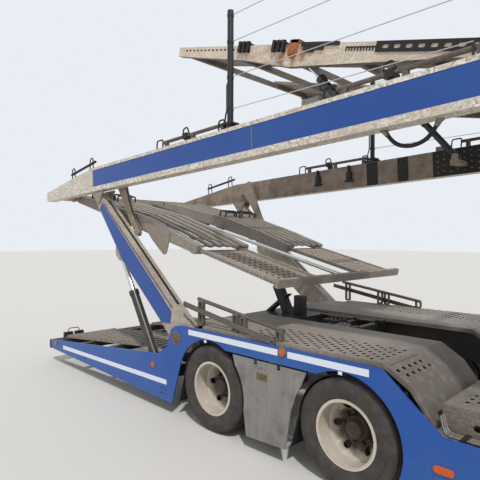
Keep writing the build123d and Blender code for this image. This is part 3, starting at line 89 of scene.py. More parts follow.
def startMaterial(name, roughness, metallic, **constants):
    material = bpy.data.materials.new(name)
    material.use_nodes = True
    tree = material.node_tree
    shader = tree.nodes["Principled BSDF"]
    shader.inputs["Roughness"].default_value = roughness
    shader.inputs["Metallic"].default_value = metallic
    for key, value in constants.items():
        shader.inputs[key.replace("_", " ")].default_value = value
    place = addNode(tree, "ShaderNodeTexCoord").outputs["Object"]
    return material, tree, shader, place


def patches(tree, place, sizeMm, detail, low, high):
    # Cloudy patches of about sizeMm, sharpened between low and high
    noise = addNode(tree, "ShaderNodeTexNoise", None, {
        "Vector": place, "Scale": 1000 / sizeMm, "Detail": detail, "Roughness": 0.6})
    return addNode(tree, "ShaderNodeMapRange", None, {
        "Value": noise.outputs["Fac"], "From Min": low, "From Max": high}).outputs["Result"]


def fadeOut(tree, cloud, value, full, none):
    # The cloud's full strength where value is at full, falling to nothing at none
    share = addNode(tree, "ShaderNodeMapRange", None, {"Value": value, "From Min": none, "From Max": full})
    return addNode(tree, "ShaderNodeMath", {"operation": "MULTIPLY"}, {
        0: share.outputs["Result"], 1: cloud}).outputs["Value"]


def grain(tree, shader, place, sizeMm, depthMm, strength):
    # Fine surface relief
    noise = addNode(tree, "ShaderNodeTexNoise", None, {
        "Vector": place, "Scale": 1000 / sizeMm, "Detail": 2.0})
    bump = addNode(tree, "ShaderNodeBump", None, {
        "Height": noise.outputs["Fac"], "Strength": strength, "Distance": depthMm / 1000})
    tree.links.new(bump.outputs["Normal"], shader.inputs["Normal"])


def inwardShadeMask(tree, place):
    # 1 on faces that look towards the trailer's middle, 0 on its outside: where painted shade goes
    normal = addNode(tree, "ShaderNodeNewGeometry").outputs["Normal"]
    placeY = addNode(tree, "ShaderNodeSeparateXYZ", None, {"Vector": place}).outputs["Y"]
    normalY = addNode(tree, "ShaderNodeSeparateXYZ", None, {"Vector": normal}).outputs["Y"]
    product = addNode(tree, "ShaderNodeMath", {"operation": "MULTIPLY"}, {0: placeY, 1: normalY})
    return addNode(tree, "ShaderNodeMath", {"operation": "LESS_THAN"}, {
        0: product.outputs["Value"], 1: -0.3}).outputs["Value"]


def reachFrom(tree, place, centreX, centreZ):
    # Distance in side view from a line across the trailer
    parts = addNode(tree, "ShaderNodeSeparateXYZ", None, {"Vector": place})
    flat = addNode(tree, "ShaderNodeCombineXYZ", None, {"X": parts.outputs["X"], "Z": parts.outputs["Z"]})
    return addNode(tree, "ShaderNodeVectorMath", {"operation": "DISTANCE"}, {
        0: flat.outputs["Vector"], 1: (centreX, 0.0, centreZ)}).outputs["Value"]


def weatheredZinc(name, pale, dull, dust, roughness, metallic, spangleMm, insideShade=None, rustAt=None,
                  grimeFrom=None):
    # Hot-dip galvanised steel: crystals dulled by weather, with road film in soft patches. The crystals of
    # a few millimetres are drawn larger, because smaller ones wouldn't show at this distance.
    material, tree, shader, place = startMaterial(name, roughness, metallic)
    cells = addNode(tree, "ShaderNodeTexVoronoi", None, {"Vector": place, "Scale": 1000 / spangleMm})
    spangle = addNode(tree, "ShaderNodeSeparateColor", None, {"Color": cells.outputs["Color"]})
    zinc = addNode(tree, "ShaderNodeMix", colourMix, {"Factor": spangle.outputs["Red"], 6: pale, 7: dull})
    film = patches(tree, place, 260, 5.0, 0.42, 0.78)
    colour = addNode(tree, "ShaderNodeMix", colourMix, {
        "Factor": film, 6: zinc.outputs[2], 7: dust}).outputs[2]
    if insideShade:
        # Painted shade: darker zinc in soft patches on the faces that look inwards
        cloud = patches(tree, place, 120, 5.0, 0.3, 0.7)
        inwardShadeZinc = addNode(tree, "ShaderNodeMix", colourMix, {"Factor": cloud, 6: insideShade[0], 7: insideShade[1]})
        colour = addNode(tree, "ShaderNodeMix", colourMix, {
            "Factor": inwardShadeMask(tree, place), 6: colour, 7: inwardShadeZinc.outputs[2]}).outputs[2]
    if grimeFrom:
        # Road grime, full half a metre ahead of this place
        ahead = addNode(tree, "ShaderNodeSeparateXYZ", None, {"Vector": place}).outputs["X"]
        grime = fadeOut(tree, patches(tree, place, 70, 6.0, 0.1, 0.5), ahead, grimeFrom + 0.5, grimeFrom)
        colour = addNode(tree, "ShaderNodeMix", colourMix, {
            "Factor": grime, 6: colour, 7: "#645C53"}).outputs[2]
    if rustAt:
        # Rust that has run from a pin
        cloud = patches(tree, place, 90, 6.0, 0.36, 0.62)
        near = fadeOut(tree, cloud, reachFrom(tree, place, *rustAt), 0.05, 0.42)
        stain = addNode(tree, "ShaderNodeMapRange", None, {"Value": near, "From Min": 0.12, "From Max": 0.7})
        colour = addNode(tree, "ShaderNodeMix", colourMix, {
            "Factor": stain.outputs["Result"], 6: colour, 7: "#9C7150"}).outputs[2]
    tree.links.new(colour, shader.inputs["Base Color"])
    grain(tree, shader, place, 6, 0.6, 0.35)
    return material


def glossPaint(name, colour, dusty, roughness, filmMm=700, splashTop=None):
    # Sprayed two-pack paint: smooth clear gloss, with dust in broad soft patches and road splash low down
    material, tree, shader, place = startMaterial(name, roughness, 0.0, Coat_Weight=0.15, Coat_Roughness=0.2)
    film = patches(tree, place, filmMm, 5.0, 0.42, 0.8)
    shade = addNode(tree, "ShaderNodeMix", colourMix, {"Factor": film, 6: colour, 7: dusty}).outputs[2]
    if splashTop:
        height = addNode(tree, "ShaderNodeSeparateXYZ", None, {"Vector": place}).outputs["Z"]
        splash = fadeOut(tree, patches(tree, place, 35, 6.0, 0.42, 0.62), height, 0.1, splashTop)
        shade = addNode(tree, "ShaderNodeMix", colourMix, {"Factor": splash, 6: shade, 7: dusty}).outputs[2]
    tree.links.new(shade, shader.inputs["Base Color"])
    return material


def rustyCasting(name, colour, rust, share, roughness):
    # Bare cast steel: a chalky brown skin with fresher rust in spots
    material, tree, shader, place = startMaterial(name, roughness, 0.0)
    spots = patches(tree, place, 60, 6.0, 1.0 - share, 1.04 - share)
    spotted = addNode(tree, "ShaderNodeMix", colourMix, {"Factor": spots, 6: colour, 7: rust})
    tree.links.new(spotted.outputs[2], shader.inputs["Base Color"])
    grain(tree, shader, place, 9, 0.4, 0.3)
    return material


def wheelEnamel(name, colour, dustAndShadeColour, rust):
    # Cream enamel, darker towards the hub: brake dust, and painted shade in the dish of the rim; chipped to rust
    # in small spots
    material, tree, shader, place = startMaterial(name, 0.5, 0.0)
    rear = reachFrom(tree, place, rearAxleX, axleZ)
    front = reachFrom(tree, place, frontAxleX, axleZ)
    reach = addNode(tree, "ShaderNodeMath", {"operation": "MINIMUM"}, {0: rear, 1: front}).outputs["Value"]
    brakeDustAndShade = fadeOut(tree, patches(tree, place, 60, 5.0, 0.08, 0.5), reach, 0.150, 0.245)
    enamel = addNode(tree, "ShaderNodeMix", colourMix, {"Factor": brakeDustAndShade, 6: colour, 7: dustAndShadeColour}).outputs[2]
    chips = patches(tree, place, 26, 4.0, 0.66, 0.69)
    chipped = addNode(tree, "ShaderNodeMix", colourMix, {"Factor": chips, 6: enamel, 7: rust})
    tree.links.new(chipped.outputs[2], shader.inputs["Base Color"])
    grain(tree, shader, place, 9, 0.4, 0.3)
    return material


def brushedPanel(name, colour, streak, roughness):
    # Aluminium sheet washed with acid: streaks run down the sheet
    material, tree, shader, place = startMaterial(name, roughness, 0.3)
    stretch = addNode(tree, "ShaderNodeMapping", None, {"Vector": place, "Scale": (40.0, 40.0, 2.2)})
    noise = addNode(tree, "ShaderNodeTexNoise", None, {
        "Vector": stretch.outputs["Vector"], "Scale": 1.0, "Detail": 5.0})
    washed = addNode(tree, "ShaderNodeMix", colourMix, {"Factor": noise.outputs["Fac"], 6: colour, 7: streak})
    stain = patches(tree, place, 150, 5.0, 0.5, 0.72)
    stained = addNode(tree, "ShaderNodeMix", colourMix, {"Factor": stain, 6: washed.outputs[2], 7: streak})
    tree.links.new(stained.outputs[2], shader.inputs["Base Color"])
    return material


def plainMaterial(name, colour, roughness, metallic=0.0, **constants):
    material, tree, shader, place = startMaterial(name, roughness, metallic, **constants)
    shader.inputs["Base Color"].default_value = hexColour(colour)
    return material


def rubbedFitting(name, colour, worn, roughness, metallic):
    # Small pressed and cast fittings, rubbed in places to a second tone
    material, tree, shader, place = startMaterial(name, roughness, metallic)
    rub = patches(tree, place, 18, 4.0, 0.4, 0.7)
    rubbed = addNode(tree, "ShaderNodeMix", colourMix, {"Factor": rub, 6: colour, 7: worn})
    tree.links.new(rubbed.outputs[2], shader.inputs["Base Color"])
    return material


def dustyRubber(name):
    # Carbon-black rubber, dull, greyed by road dust
    material, tree, shader, place = startMaterial(name, 0.82, 0.0)
    film = patches(tree, place, 90, 5.0, 0.3, 0.8)
    dusted = addNode(tree, "ShaderNodeMix", colourMix, {"Factor": film, 6: "#2E2A28", 7: "#524A44"})
    tree.links.new(dusted.outputs[2], shader.inputs["Base Color"])
    grain(tree, shader, place, 4, 0.5, 0.4)
    return material


def mouldedLens(name, colour):
    # Moulded acrylic lens over a shallow reflector
    return plainMaterial(name, colour, 0.2, 0.0, IOR=1.49, Coat_Weight=0.4)


trayPin = jointPlace["tray_lower"]
trayEye = (
    trayPin.x - 1.9 * math.cos(traySlope) - 0.015 * math.sin(-traySlope),
    trayPin.z - 1.9 * math.sin(traySlope) - 0.015 * math.cos(traySlope))

slotMaterials = {
    "dark_steel": glossPaint("satin black chassis paint", "#262322", "#453D36", 0.6, 300),
    "blue_paint": glossPaint("blue two-pack gloss paint", "#0A4A9C", "#265B9A", 0.36, 700, 0.42),
    "white_stripe": plainMaterial("white reflective tape", "#DDE1E8", 0.45),  # even, slightly cool white
    "black_plastic": plainMaterial("moulded black polyethylene", "#1B1A1A", 0.7),  # dull, fine-grained skin
    "galvanised": weatheredZinc(
        "weathered galvanised steel", "#A0978C", "#80776D", "#8E8071", 0.62, 0.15, 14,
        grimeFrom=rearAxleX + 1.25),
    "galvanised_tube": weatheredZinc(
        "dulled galvanised tube", "#756C62", "#5B534B", "#4E463F", 0.55, 0.3, 10),
    # Its inward faces take painted shade
    "bright_zinc": weatheredZinc(
        "bright spangled galvanised steel", "#F0E8DB", "#A39889", "#C2B5A2", 0.5, 0.1, 17,
        insideShade=("#A08E7E", "#6E6055")),
    "post_paint": glossPaint("black post paint", "#121214", "#292725", 0.5, 200),
    "amber_lens": mouldedLens("amber acrylic lens", "#C9560C"),
    "red_lens": mouldedLens("red acrylic lens", "#A60F12"),
    "tyre_rubber": dustyRubber("dusty tyre rubber"),
    "rim_paint": wheelEnamel("cream wheel enamel with brake dust and painted shade", "#D6CAB8", "#5C5047", "#6E4A35"),
    "hub_rust": rustyCasting("rust-brown hub casting", "#4A3F38", "#593F2F", 0.46, 0.85),
    "panel_grey": brushedPanel("dulled brushed aluminium sheet", "#A09A94", "#716C67", 0.48),
    "barrel_paint": glossPaint("dark cylinder enamel", "#2A2725", "#453E38", 0.4, 150),
    "bright_rod": plainMaterial("hard chromed rod", "#D5D5D5", 0.14, 1.0),  # ground and plated, a mirror
}
dirtyZinc = weatheredZinc("oily galvanised steel", "#857B70", "#696057", "#62574D", 0.6, 0.15, 14)
brownZinc = weatheredZinc("rust-stained galvanised steel", "#AB9C8B", "#857668", "#937E6A", 0.62, 0.15, 12)
trayZinc = weatheredZinc(
    "pale galvanised tray side", "#E6D6C2", "#C4B4A0", "#C3AF98", 0.58, 0.1, 12, rustAt=trayEye)
armZinc = weatheredZinc("pale galvanised arm", "#C2B6A6", "#9B9083", "#93877A", 0.55, 0.2, 16)
# A darker copy of the blue paint, as painted shade, for the panels on the beams and the rear arms
shadedBeamBlue = glossPaint("blue beam paint darkened as painted shade", "#0C4390", "#1F5092", 0.42, 900)
nodeMaterials = {
    "upper_beams": slotMaterials["bright_zinc"], "beam_panels": shadedBeamBlue, "rear_arm_panels": shadedBeamBlue,
    "tray_sides": trayZinc, "tray_frame": dirtyZinc, "tray_edges": slotMaterials["black_plastic"],
    "rear_lift_arms": armZinc, "front_lift_arms": armZinc, "front_deck": dirtyZinc, "end_grids": brownZinc,
    # The platform's props take the black post paint as painted shade, from the platform's shadow over them
    "deck_frame": brownZinc, "platform_props": slotMaterials["post_paint"],
}
brassFitting = rubbedFitting("bronzed fitting", "#7E6843", "#544630", 0.5, 0.5)
blackFitting = rubbedFitting("black oxide fitting", "#191715", "#38332E", 0.55, 0.2)
steelFitting = rubbedFitting("dull steel fitting", "#8C877F", "#6A635B", 0.5, 0.6)
rustFitting = rubbedFitting("orange rust on a casting", "#A9683F", "#83502F", 0.85, 0.0)
brightWire = plainMaterial("bright steel wire rope", "#C9C8C4", 0.4, 0.7)  # strands too fine to show
# The lips round punched holes: dusty zinc tones, kept pale as a painted highlight on their edges
pressedEdgeHighlight = rubbedFitting("dusty pressed edge with painted highlight", "#A79D91", "#857B70", 0.6, 0.2)
# Painted shade: the dark lining on the walls of punched holes and the dark discs for pin holes, where the holes
# show only shade
holeShade = rubbedFitting("painted shade in a punched hole", "#1E1A17", "#2C2622", 0.9, 0.0)
whiteMarker = plainMaterial("white prismatic marker", "#E4E8EE", 0.3)  # smooth moulded face

slotOfNode = {item["node"]: item["material_slot"] for item in frame["record"]["subparts"]}
for name, item in frame["nodes"].items():
    item.data.materials.clear()
    item.data.materials.append(nodeMaterials.get(name, slotMaterials[slotOfNode[name]]))
print("materials set")


# Meshes

def meshObject(name, mesh, material, body):
    item = bpy.data.objects.new(name, mesh)
    collection.objects.link(item)
    mesh.materials.clear()
    mesh.materials.append(material)
    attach(item, body)
    return item


def fromBmesh(name, shape, material, body, smooth=False):
    mesh = bpy.data.meshes.new(name)
    bmesh.ops.recalc_face_normals(shape, faces=shape.faces)
    shape.to_mesh(mesh)
    shape.free()
    if smooth:
        mesh.shade_smooth()
        mesh.set_sharp_from_angle(angle=math.radians(32))
    return meshObject(name, mesh, material, body)


def addCylinder(shape, centre, axis, radius, depth, sides=16, radiusEnd=None):
    turn = Vector((0, 0, 1)).rotation_difference(Vector(axis)).to_matrix().to_4x4()
    bmesh.ops.create_cone(
        shape, cap_ends=True, cap_tris=False, segments=sides, radius1=radius,
        radius2=radius if radiusEnd is None else radiusEnd, depth=depth,
        matrix=Matrix.Translation(Vector(centre)) @ turn)


def addBox(shape, low, high):
    middle = [(a + b) / 2 for a, b in zip(low, high)]
    size = [b - a for a, b in zip(low, high)]
    bmesh.ops.create_cube(shape, size=1.0, matrix=Matrix.Translation(middle) @ Matrix.Diagonal((*size, 1.0)))


def across(side, first, second):
    # Two distances from the middle as a low and a high Y on one side
    return sorted((side * first, side * second))


def slopedPoint(origin, slope, along, up, y):
    # A point on a sloping part seen from the side: along it, above it, and across the trailer
    c, s = math.cos(slope), math.sin(slope)
    return Vector((origin.x + along * c - up * s, y, origin.z + along * s + up * c))


def deckPoint(along, up, y):
    return slopedPoint(jointPlace["deck_stays_level"], deckSlope, along, up, y)


def trayPoint(along, up, y):
    return slopedPoint(trayPin, traySlope, along, up + 0.045, y)


def platformPoint(along, up, y):
    return slopedPoint(jointPlace["platform_level"], platformSlope, along, up + 0.035, y)


def addSlopedBox(shape, place, alongs, ups, ys):
    corners = [shape.verts.new(place(a, u, y)) for y in ys for a in alongs for u in ups]
    for loop in ((0, 1, 3, 2), (4, 6, 7, 5), (0, 4, 5, 1), (2, 3, 7, 6), (0, 2, 6, 4), (1, 5, 7, 3)):
        shape.faces.new([corners[i] for i in loop])


def addRod(shape, start, end, radius, sides=10):
    start, end = Vector(start), Vector(end)
    addCylinder(shape, (start + end) / 2, end - start, radius, (end - start).length, sides)


def roundedPath(points, bend, closed=False):
    # The path with each corner replaced by a short arc that starts a bend's length before it
    points = [Vector(p) for p in points]
    count = len(points)
    path = []
    for i, corner in enumerate(points):
        if not closed and i in (0, count - 1):
            path.append(corner)
            continue
        before = corner + (points[i - 1] - corner).normalized() * bend
        after = corner + (points[(i + 1) % count] - corner).normalized() * bend
        path += [before.lerp(corner, t).lerp(corner.lerp(after, t), t) for t in (0, 0.25, 0.5, 0.75, 1)]
    return path


def bentRods(name, paths, radius, material, body, closed=False):
    # Round bar or pipe along each path, one mesh
    curve = bpy.data.curves.new(name, "CURVE")
    curve.dimensions = "3D"
    curve.bevel_depth = radius
    curve.bevel_resolution = 2
    curve.use_fill_caps = not closed
    for path in paths:
        spline = curve.splines.new("POLY")
        spline.points.add(len(path) - 1)
        for point, place in zip(spline.points, path):
            point.co = (*place, 1.0)
        spline.use_cyclic_u = closed
    holder = bpy.data.objects.new(name, curve)
    collection.objects.link(holder)
    mesh = bpy.data.meshes.new_from_object(holder.evaluated_get(bpy.context.evaluated_depsgraph_get()))
    bpy.data.objects.remove(holder)
    mesh.shade_smooth()
    return meshObject(name, mesh, material, body)


def outward(x, z, side, y):
    # Local Z points out of the trailer's side, local Y up
    turn = Matrix(((-side, 0, 0), (0, 0, side), (0, 1, 0))).to_4x4()
    return Matrix.Translation((x, side * y, z)) @ turn


# Patterns grown with Geometry Nodes

def startTree(name, numbers):
    tree = bpy.data.node_groups.new(name, "GeometryNodeTree")
    for label, kind in numbers + [("Piece", "NodeSocketObject"), ("Finish", "NodeSocketMaterial")]:
        tree.interface.new_socket(label, in_out="INPUT", socket_type=kind)
    tree.interface.new_socket("Geometry", in_out="OUTPUT", socket_type="NodeSocketGeometry")
    return tree, addNode(tree, "NodeGroupInput").outputs


def finishTree(tree, given, points):
    piece = addNode(tree, "GeometryNodeObjectInfo", None, {"Object": given["Piece"]})
    copies = addNode(tree, "GeometryNodeInstanceOnPoints", None, {
        "Points": points, "Instance": piece.outputs["Geometry"]})
    solid = addNode(tree, "GeometryNodeRealizeInstances", None, {"Geometry": copies.outputs["Instances"]})
    finish = addNode(tree, "GeometryNodeSetMaterial", None, {
        "Geometry": solid.outputs["Geometry"], "Material": given["Finish"]})
    addNode(tree, "NodeGroupOutput", None, {"Geometry": finish.outputs["Geometry"]})
    return tree


def ringTree():
    # Pieces spaced evenly round a circle
    tree, given = startTree("bolt circle", [("Count", "NodeSocketInt"), ("Radius", "NodeSocketFloat")])
    circle = addNode(tree, "GeometryNodeMeshCircle", None, {
        "Vertices": given["Count"], "Radius": given["Radius"]})
    return finishTree(tree, given, circle.outputs["Mesh"])


def gridTree():
    # Pieces in rows; every second row is shifted the other way
    sizes = ("Row Pitch", "Column Pitch", "Stagger")
    tree, given = startTree("staggered rows", [
        ("Rows", "NodeSocketInt"), ("Columns", "NodeSocketInt"),
        *((size, "NodeSocketFloat") for size in sizes)])
    known = {label: given[label] for label in ("Rows", "Columns", *sizes)}
    known["Index"] = addNode(tree, "GeometryNodeInputIndex").outputs["Index"]
    for result, operation, first, second in (
            ("Row Gaps", "SUBTRACT", "Rows", 1.0), ("Length", "MULTIPLY", "Row Gaps", "Row Pitch"),
            ("Column Gaps", "SUBTRACT", "Columns", 1.0), ("Width", "MULTIPLY", "Column Gaps", "Column Pitch"),
            ("Rows Passed", "DIVIDE", "Index", "Columns"), ("Row", "FLOOR", "Rows Passed", 0.0),
            ("Odd Row", "MODULO", "Row", 2.0), ("Swing", "MULTIPLY", "Odd Row", 2.0),
            ("Direction", "SUBTRACT", "Swing", 1.0), ("Shift", "MULTIPLY", "Direction", "Stagger")):
        known[result] = addNode(tree, "ShaderNodeMath", {"operation": operation}, {
            0: known.get(first, first), 1: known.get(second, second)}).outputs["Value"]
    grid = addNode(tree, "GeometryNodeMeshGrid", None, {
        "Vertices X": given["Rows"], "Vertices Y": given["Columns"],
        "Size X": known["Length"], "Size Y": known["Width"]})
    shift = addNode(tree, "ShaderNodeCombineXYZ", None, {"Y": known["Shift"]})
    moved = addNode(tree, "GeometryNodeSetPosition", None, {
        "Geometry": grid.outputs["Mesh"], "Offset": shift.outputs["Vector"]})
    return finishTree(tree, given, moved.outputs["Geometry"])


boltCircle, staggeredRows = ringTree(), gridTree()
stencils = []


def stencil(name, shape):
    # A small piece that the patterns copy; it is removed once they are grown
    mesh = bpy.data.meshes.new(name)
    bmesh.ops.recalc_face_normals(shape, faces=shape.faces)
    shape.to_mesh(mesh)
    shape.free()
    item = bpy.data.objects.new(name, mesh)
    collection.objects.link(item)
    stencils.append(item)
    return item


def grow(tree, values):
    holder = bpy.data.objects.new("pattern", bpy.data.meshes.new("pattern"))
    collection.objects.link(holder)
    modifier = holder.modifiers.new("pattern", "NODES")
    modifier.node_group = tree
    for item in tree.interface.items_tree:
        if item.in_out == "INPUT":
            modifier[item.identifier] = values[item.name]
    mesh = bpy.data.meshes.new_from_object(holder.evaluated_get(bpy.context.evaluated_depsgraph_get()))
    bpy.data.objects.remove(holder)
    return mesh


def placeGrown(name, grown, material, body):
    # grown: pairs of a pattern's mesh and its place on the trailer, joined to one piece
    shape = bmesh.new()
    for mesh, place in grown:
        mesh.transform(place)
        shape.from_mesh(mesh)
        bpy.data.meshes.remove(mesh)
    return fromBmesh(name, shape, material, body)


def hexNut(width, height, studRadius, studHeight):
    shape = bmesh.new()
    addCylinder(shape, (0, 0, height / 2), (0, 0, 1), width / math.sqrt(3), height, 6)
    addCylinder(shape, (0, 0, studHeight / 2), (0, 0, 1), studRadius, studHeight, 8)
    return shape


def holeRing(halfX, halfY, corner, profile):
    # A ring round a punched hole with eight corners; profile gives its section as growth and height
    def outline(grow, z):
        x, y, c = halfX + grow, halfY + grow, corner + grow * 0.6
        return [(x, y - c, z), (x - c, y, z), (c - x, y, z), (-x, y - c, z),
                (-x, c - y, z), (c - x, -y, z), (x - c, -y, z), (x, c - y, z)]

    shape = bmesh.new()
    rings = [[shape.verts.new(p) for p in outline(g, z)] for g, z in profile]
    for first, second in zip(rings, rings[1:] + rings[:1]):
        for i in range(8):
            j = (i + 1) % 8
            shape.faces.new((first[i], first[j], second[j], second[i]))
    return shape


# Tyres with ribs, one pair for each end of an axle

tyre = {
    "radius": 0.3835, "width": 0.211, "seatRadius": 0.223, "spacing": 0.242, "outerY": 1.258,
    "grooveDepth": 0.011, "grooveWidth": 0.011, "grooves": (-0.058, -0.020, 0.020, 0.058), "turns": 96,
}


def tyreOutline():
    half = tyre["width"] / 2
    r = tyre["radius"]
    side = [
        (-half + 0.026, tyre["seatRadius"]), (-half + 0.026, tyre["seatRadius"] + 0.016),
        (-half + 0.012, tyre["seatRadius"] + 0.020), (-half + 0.004, tyre["seatRadius"] + 0.040),
        (-half, r - 0.085), (-half, r - 0.066), (-half + 0.003, r - 0.064), (-half + 0.006, r - 0.034),
        (-half + 0.012, r - 0.016), (-half + 0.024, r - 0.004), (-half + 0.038, r),
    ]
    tread = []
    for groove in tyre["grooves"]:
        lip, root = tyre["grooveWidth"] / 2, tyre["grooveWidth"] * 0.35
        tread += [(groove - lip, r), (groove - root, r - tyre["grooveDepth"]),
                  (groove + root, r - tyre["grooveDepth"]), (groove + lip, r)]
    return side + tread + [(-y, z) for y, z in reversed(side)]


def addLathe(shape, outline, centreX, centreY, centreZ, turns):
    rings = []
    for step in range(turns):
        angle = 2 * math.pi * step / turns
        rings.append([
            shape.verts.new((centreX + z * math.cos(angle), centreY + y, centreZ + z * math.sin(angle)))
            for y, z in outline])
    for first, second in zip(rings, rings[1:] + rings[:1]):
        for i in range(len(outline)):
            j = (i + 1) % len(outline)
            shape.faces.new((first[i], first[j], second[j], second[i]))


matingY = tyre["outerY"] - tyre["width"] / 2 - tyre["spacing"] / 2
for axleName, axleX in (("rear", rearAxleX), ("front", frontAxleX)):
    for sideName, side in (("right", -1), ("left", 1)):
        shape = bmesh.new()
        for turn in (-1, 1):
            centreY = side * (matingY + turn * tyre["spacing"] / 2)
            addLathe(shape, tyreOutline(), axleX, centreY, axleZ, tyre["turns"])
        item = fromBmesh(f"ribbedTyres_{axleName}_{sideName}", shape, slotMaterials["tyre_rubber"],
                         f"{axleName}_{sideName}_wheels", smooth=True)
        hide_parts(f"tyres_{axleName}_{sideName}")
print("tyres made")


# Wheel hubs: a rusty casting with its cap, ten nuts on their studs and small bolts round the cap

wheelHub = {
    "nutCount": 10, "nutCircle": 0.1125, "nutWidth": 0.030, "nutHeight": 0.024, "studRadius": 0.010,
    "studHeight": 0.036, "discFace": 0.012, "capBolts": 8, "capBoltCircle": 0.0735, "capFace": 0.0565,
    "capBoltWidth": 0.011, "capBoltHeight": 0.006, "turns": 48,
    "outline": [(0.0105, 0.0005), (0.0105, 0.127), (0.0135, 0.127), (0.0135, 0.0945), (0.0548, 0.0845),
                (0.0565, 0.0820), (0.0565, 0.0655), (0.0600, 0.0640), (0.0950, 0.0635), (0.1035, 0.0590),
                (0.1075, 0.0500), (0.1075, 0.0300), (0.1095, 0.0280), (0.1095, 0.0005)],
}
wheelNut = stencil("wheelNut", hexNut(
    wheelHub["nutWidth"], wheelHub["nutHeight"], wheelHub["studRadius"], wheelHub["studHeight"]))
capBolt = stencil("capBolt", hexNut(wheelHub["capBoltWidth"], wheelHub["capBoltHeight"], 0.003, 0.007))

for axleName, axleX in (("rear", rearAxleX), ("front", frontAxleX)):
    for sideName, side in (("right", -1), ("left", 1)):
        body = f"{axleName}_{sideName}_wheels"
        shape = bmesh.new()
        addLathe(shape, [(side * y, r) for y, r in wheelHub["outline"]],
                 axleX, side * matingY, axleZ, wheelHub["turns"])
        item = fromBmesh(
            f"hubCasting_{axleName}_{sideName}", shape, slotMaterials["hub_rust"], body, smooth=True)
        nuts = grow(boltCircle, {"Count": wheelHub["nutCount"], "Radius": wheelHub["nutCircle"],
                                 "Piece": wheelNut, "Finish": slotMaterials["hub_rust"]})
        bolts = grow(boltCircle, {"Count": wheelHub["capBolts"], "Radius": wheelHub["capBoltCircle"],
                                  "Piece": capBolt, "Finish": slotMaterials["hub_rust"]})
        item = placeGrown(f"wheelNuts_{axleName}_{sideName}", [
            (nuts, outward(axleX, axleZ, side, matingY + wheelHub["discFace"])),
            (bolts, outward(axleX, axleZ, side, matingY + wheelHub["capFace"])),
        ], slotMaterials["hub_rust"], body)
print("hubs made")


# Perforated tracks: round each punched hole a low pressed lip, pale as a painted highlight, and a dark lining of
# painted shade on its wall

trackPlates = {
    # start ahead of the rear axle, height there, end, slope in degrees, outer edge
    "plates": [(0.345, 0.925, 1.635, 0.0, 1.225), (1.675, 0.90956, 1.806, -31.70, 1.225),
               (2.035, 0.730, 3.215, 0.0, 1.055), (4.335, 0.730, 5.040, 0.0, 1.055)],
    "inner": 0.800, "rowPitch": 0.052, "holePitch": 0.082, "hole": (0.0125, 0.018), "corner": 0.002,
}
endPlates = {
    "middleAlong": 3.095, "up": -0.049, "middleY": 0.695, "rows": 11, "columns": 5, "rowPitch": 0.074,
    "holePitch": 0.076, "hole": (0.023, 0.012), "corner": 0.010,
}
holeProfiles = {
    "lip": ((0.0, -0.001), (0.001, 0.0016), (0.0035, -0.0005)),
    "wall": ((0.0, -0.0105), (0.0, 0.0012), (-0.0008, 0.0012), (-0.0008, -0.0105)),
}

# The lip is pale as a painted highlight; the wall's dark lining is painted shade
for part, finish in (("lip", pressedEdgeHighlight), ("wall", holeShade)):
    profile = holeProfiles[part]
    trackRing = stencil(f"trackRing_{part}", holeRing(*trackPlates["hole"], trackPlates["corner"], profile))
    slotRing = stencil(f"slotRing_{part}", holeRing(*endPlates["hole"], endPlates["corner"], profile))
    grown = []
    for start, height, end, slope, outer in trackPlates["plates"]:
        slope = math.radians(slope)
        run = (end - start) / math.cos(slope)
        origin = Vector((rearAxleX + start, 0.0, height))
        top = slopedPoint(origin, slope, run / 2, 0.0, 0.0)
        for side in (-1, 1):
            mesh = grow(staggeredRows, {
                "Rows": int(run / trackPlates["rowPitch"]), "Row Pitch": trackPlates["rowPitch"],
                "Columns": int((outer - trackPlates["inner"]) / trackPlates["holePitch"]),
                "Column Pitch": trackPlates["holePitch"], "Stagger": -side * trackPlates["holePitch"] / 4,
                "Piece": trackRing, "Finish": finish})
            place = Matrix.Translation((top.x, side * (trackPlates["inner"] + outer) / 2, top.z))
            grown.append((mesh, place @ Matrix.Rotation(-slope, 4, "Y")))
    item = placeGrown(f"trackHoles_{part}", grown, finish, "chassis")
    grown = []
    for side in (-1, 1):
        mesh = grow(staggeredRows, {
            "Rows": endPlates["rows"], "Columns": endPlates["columns"], "Row Pitch": endPlates["rowPitch"],
            "Column Pitch": endPlates["holePitch"], "Stagger": 0.0, "Piece": slotRing, "Finish": finish})
        place = Matrix.Translation(platformPoint(
            endPlates["middleAlong"], endPlates["up"], side * endPlates["middleY"]))
        grown.append((mesh, place @ Matrix.Rotation(-platformSlope, 4, "Y")))
    item = placeGrown(f"endPlateHoles_{part}", grown, finish, "platform_end")
print("track holes made")


# Skirt fittings: lamp bezels, the bronzed cover over the arm's pin, white markers, rivets ahead of the tail

skirtFittings = {
    "lamps": [(-3.140, 0.290, 0.026), (-0.851, 0.439, 0.026), (0.837, 0.860, 0.030)],
    "bezelWidth": 0.008, "bezelHeight": 0.009, "coverPlace": (-0.472, 0.765), "coverRadius": 0.050,
    "markers": [(-0.048, 0.800), (1.345, 0.806)], "markerSize": (0.030, 0.022),
    "rivetPlaces": [(-0.682, 0.215)], "rivetRadius": 0.007, "rivetRows": 3, "rivetColumns": 2,
    "rowPitch": 0.045, "columnPitch": 0.05,
}


def skirtAt(reach):
    return rearAxleX + reach


def rivetHead(radius):
    shape = bmesh.new()
    addCylinder(shape, (0, 0, radius * 0.2), (0, 0, 1), radius, radius * 0.4, 8, radius * 0.9)
    addCylinder(shape, (0, 0, radius * 0.6), (0, 0, 1), radius * 0.9, radius * 0.4, 8, radius * 0.5)
    return shape


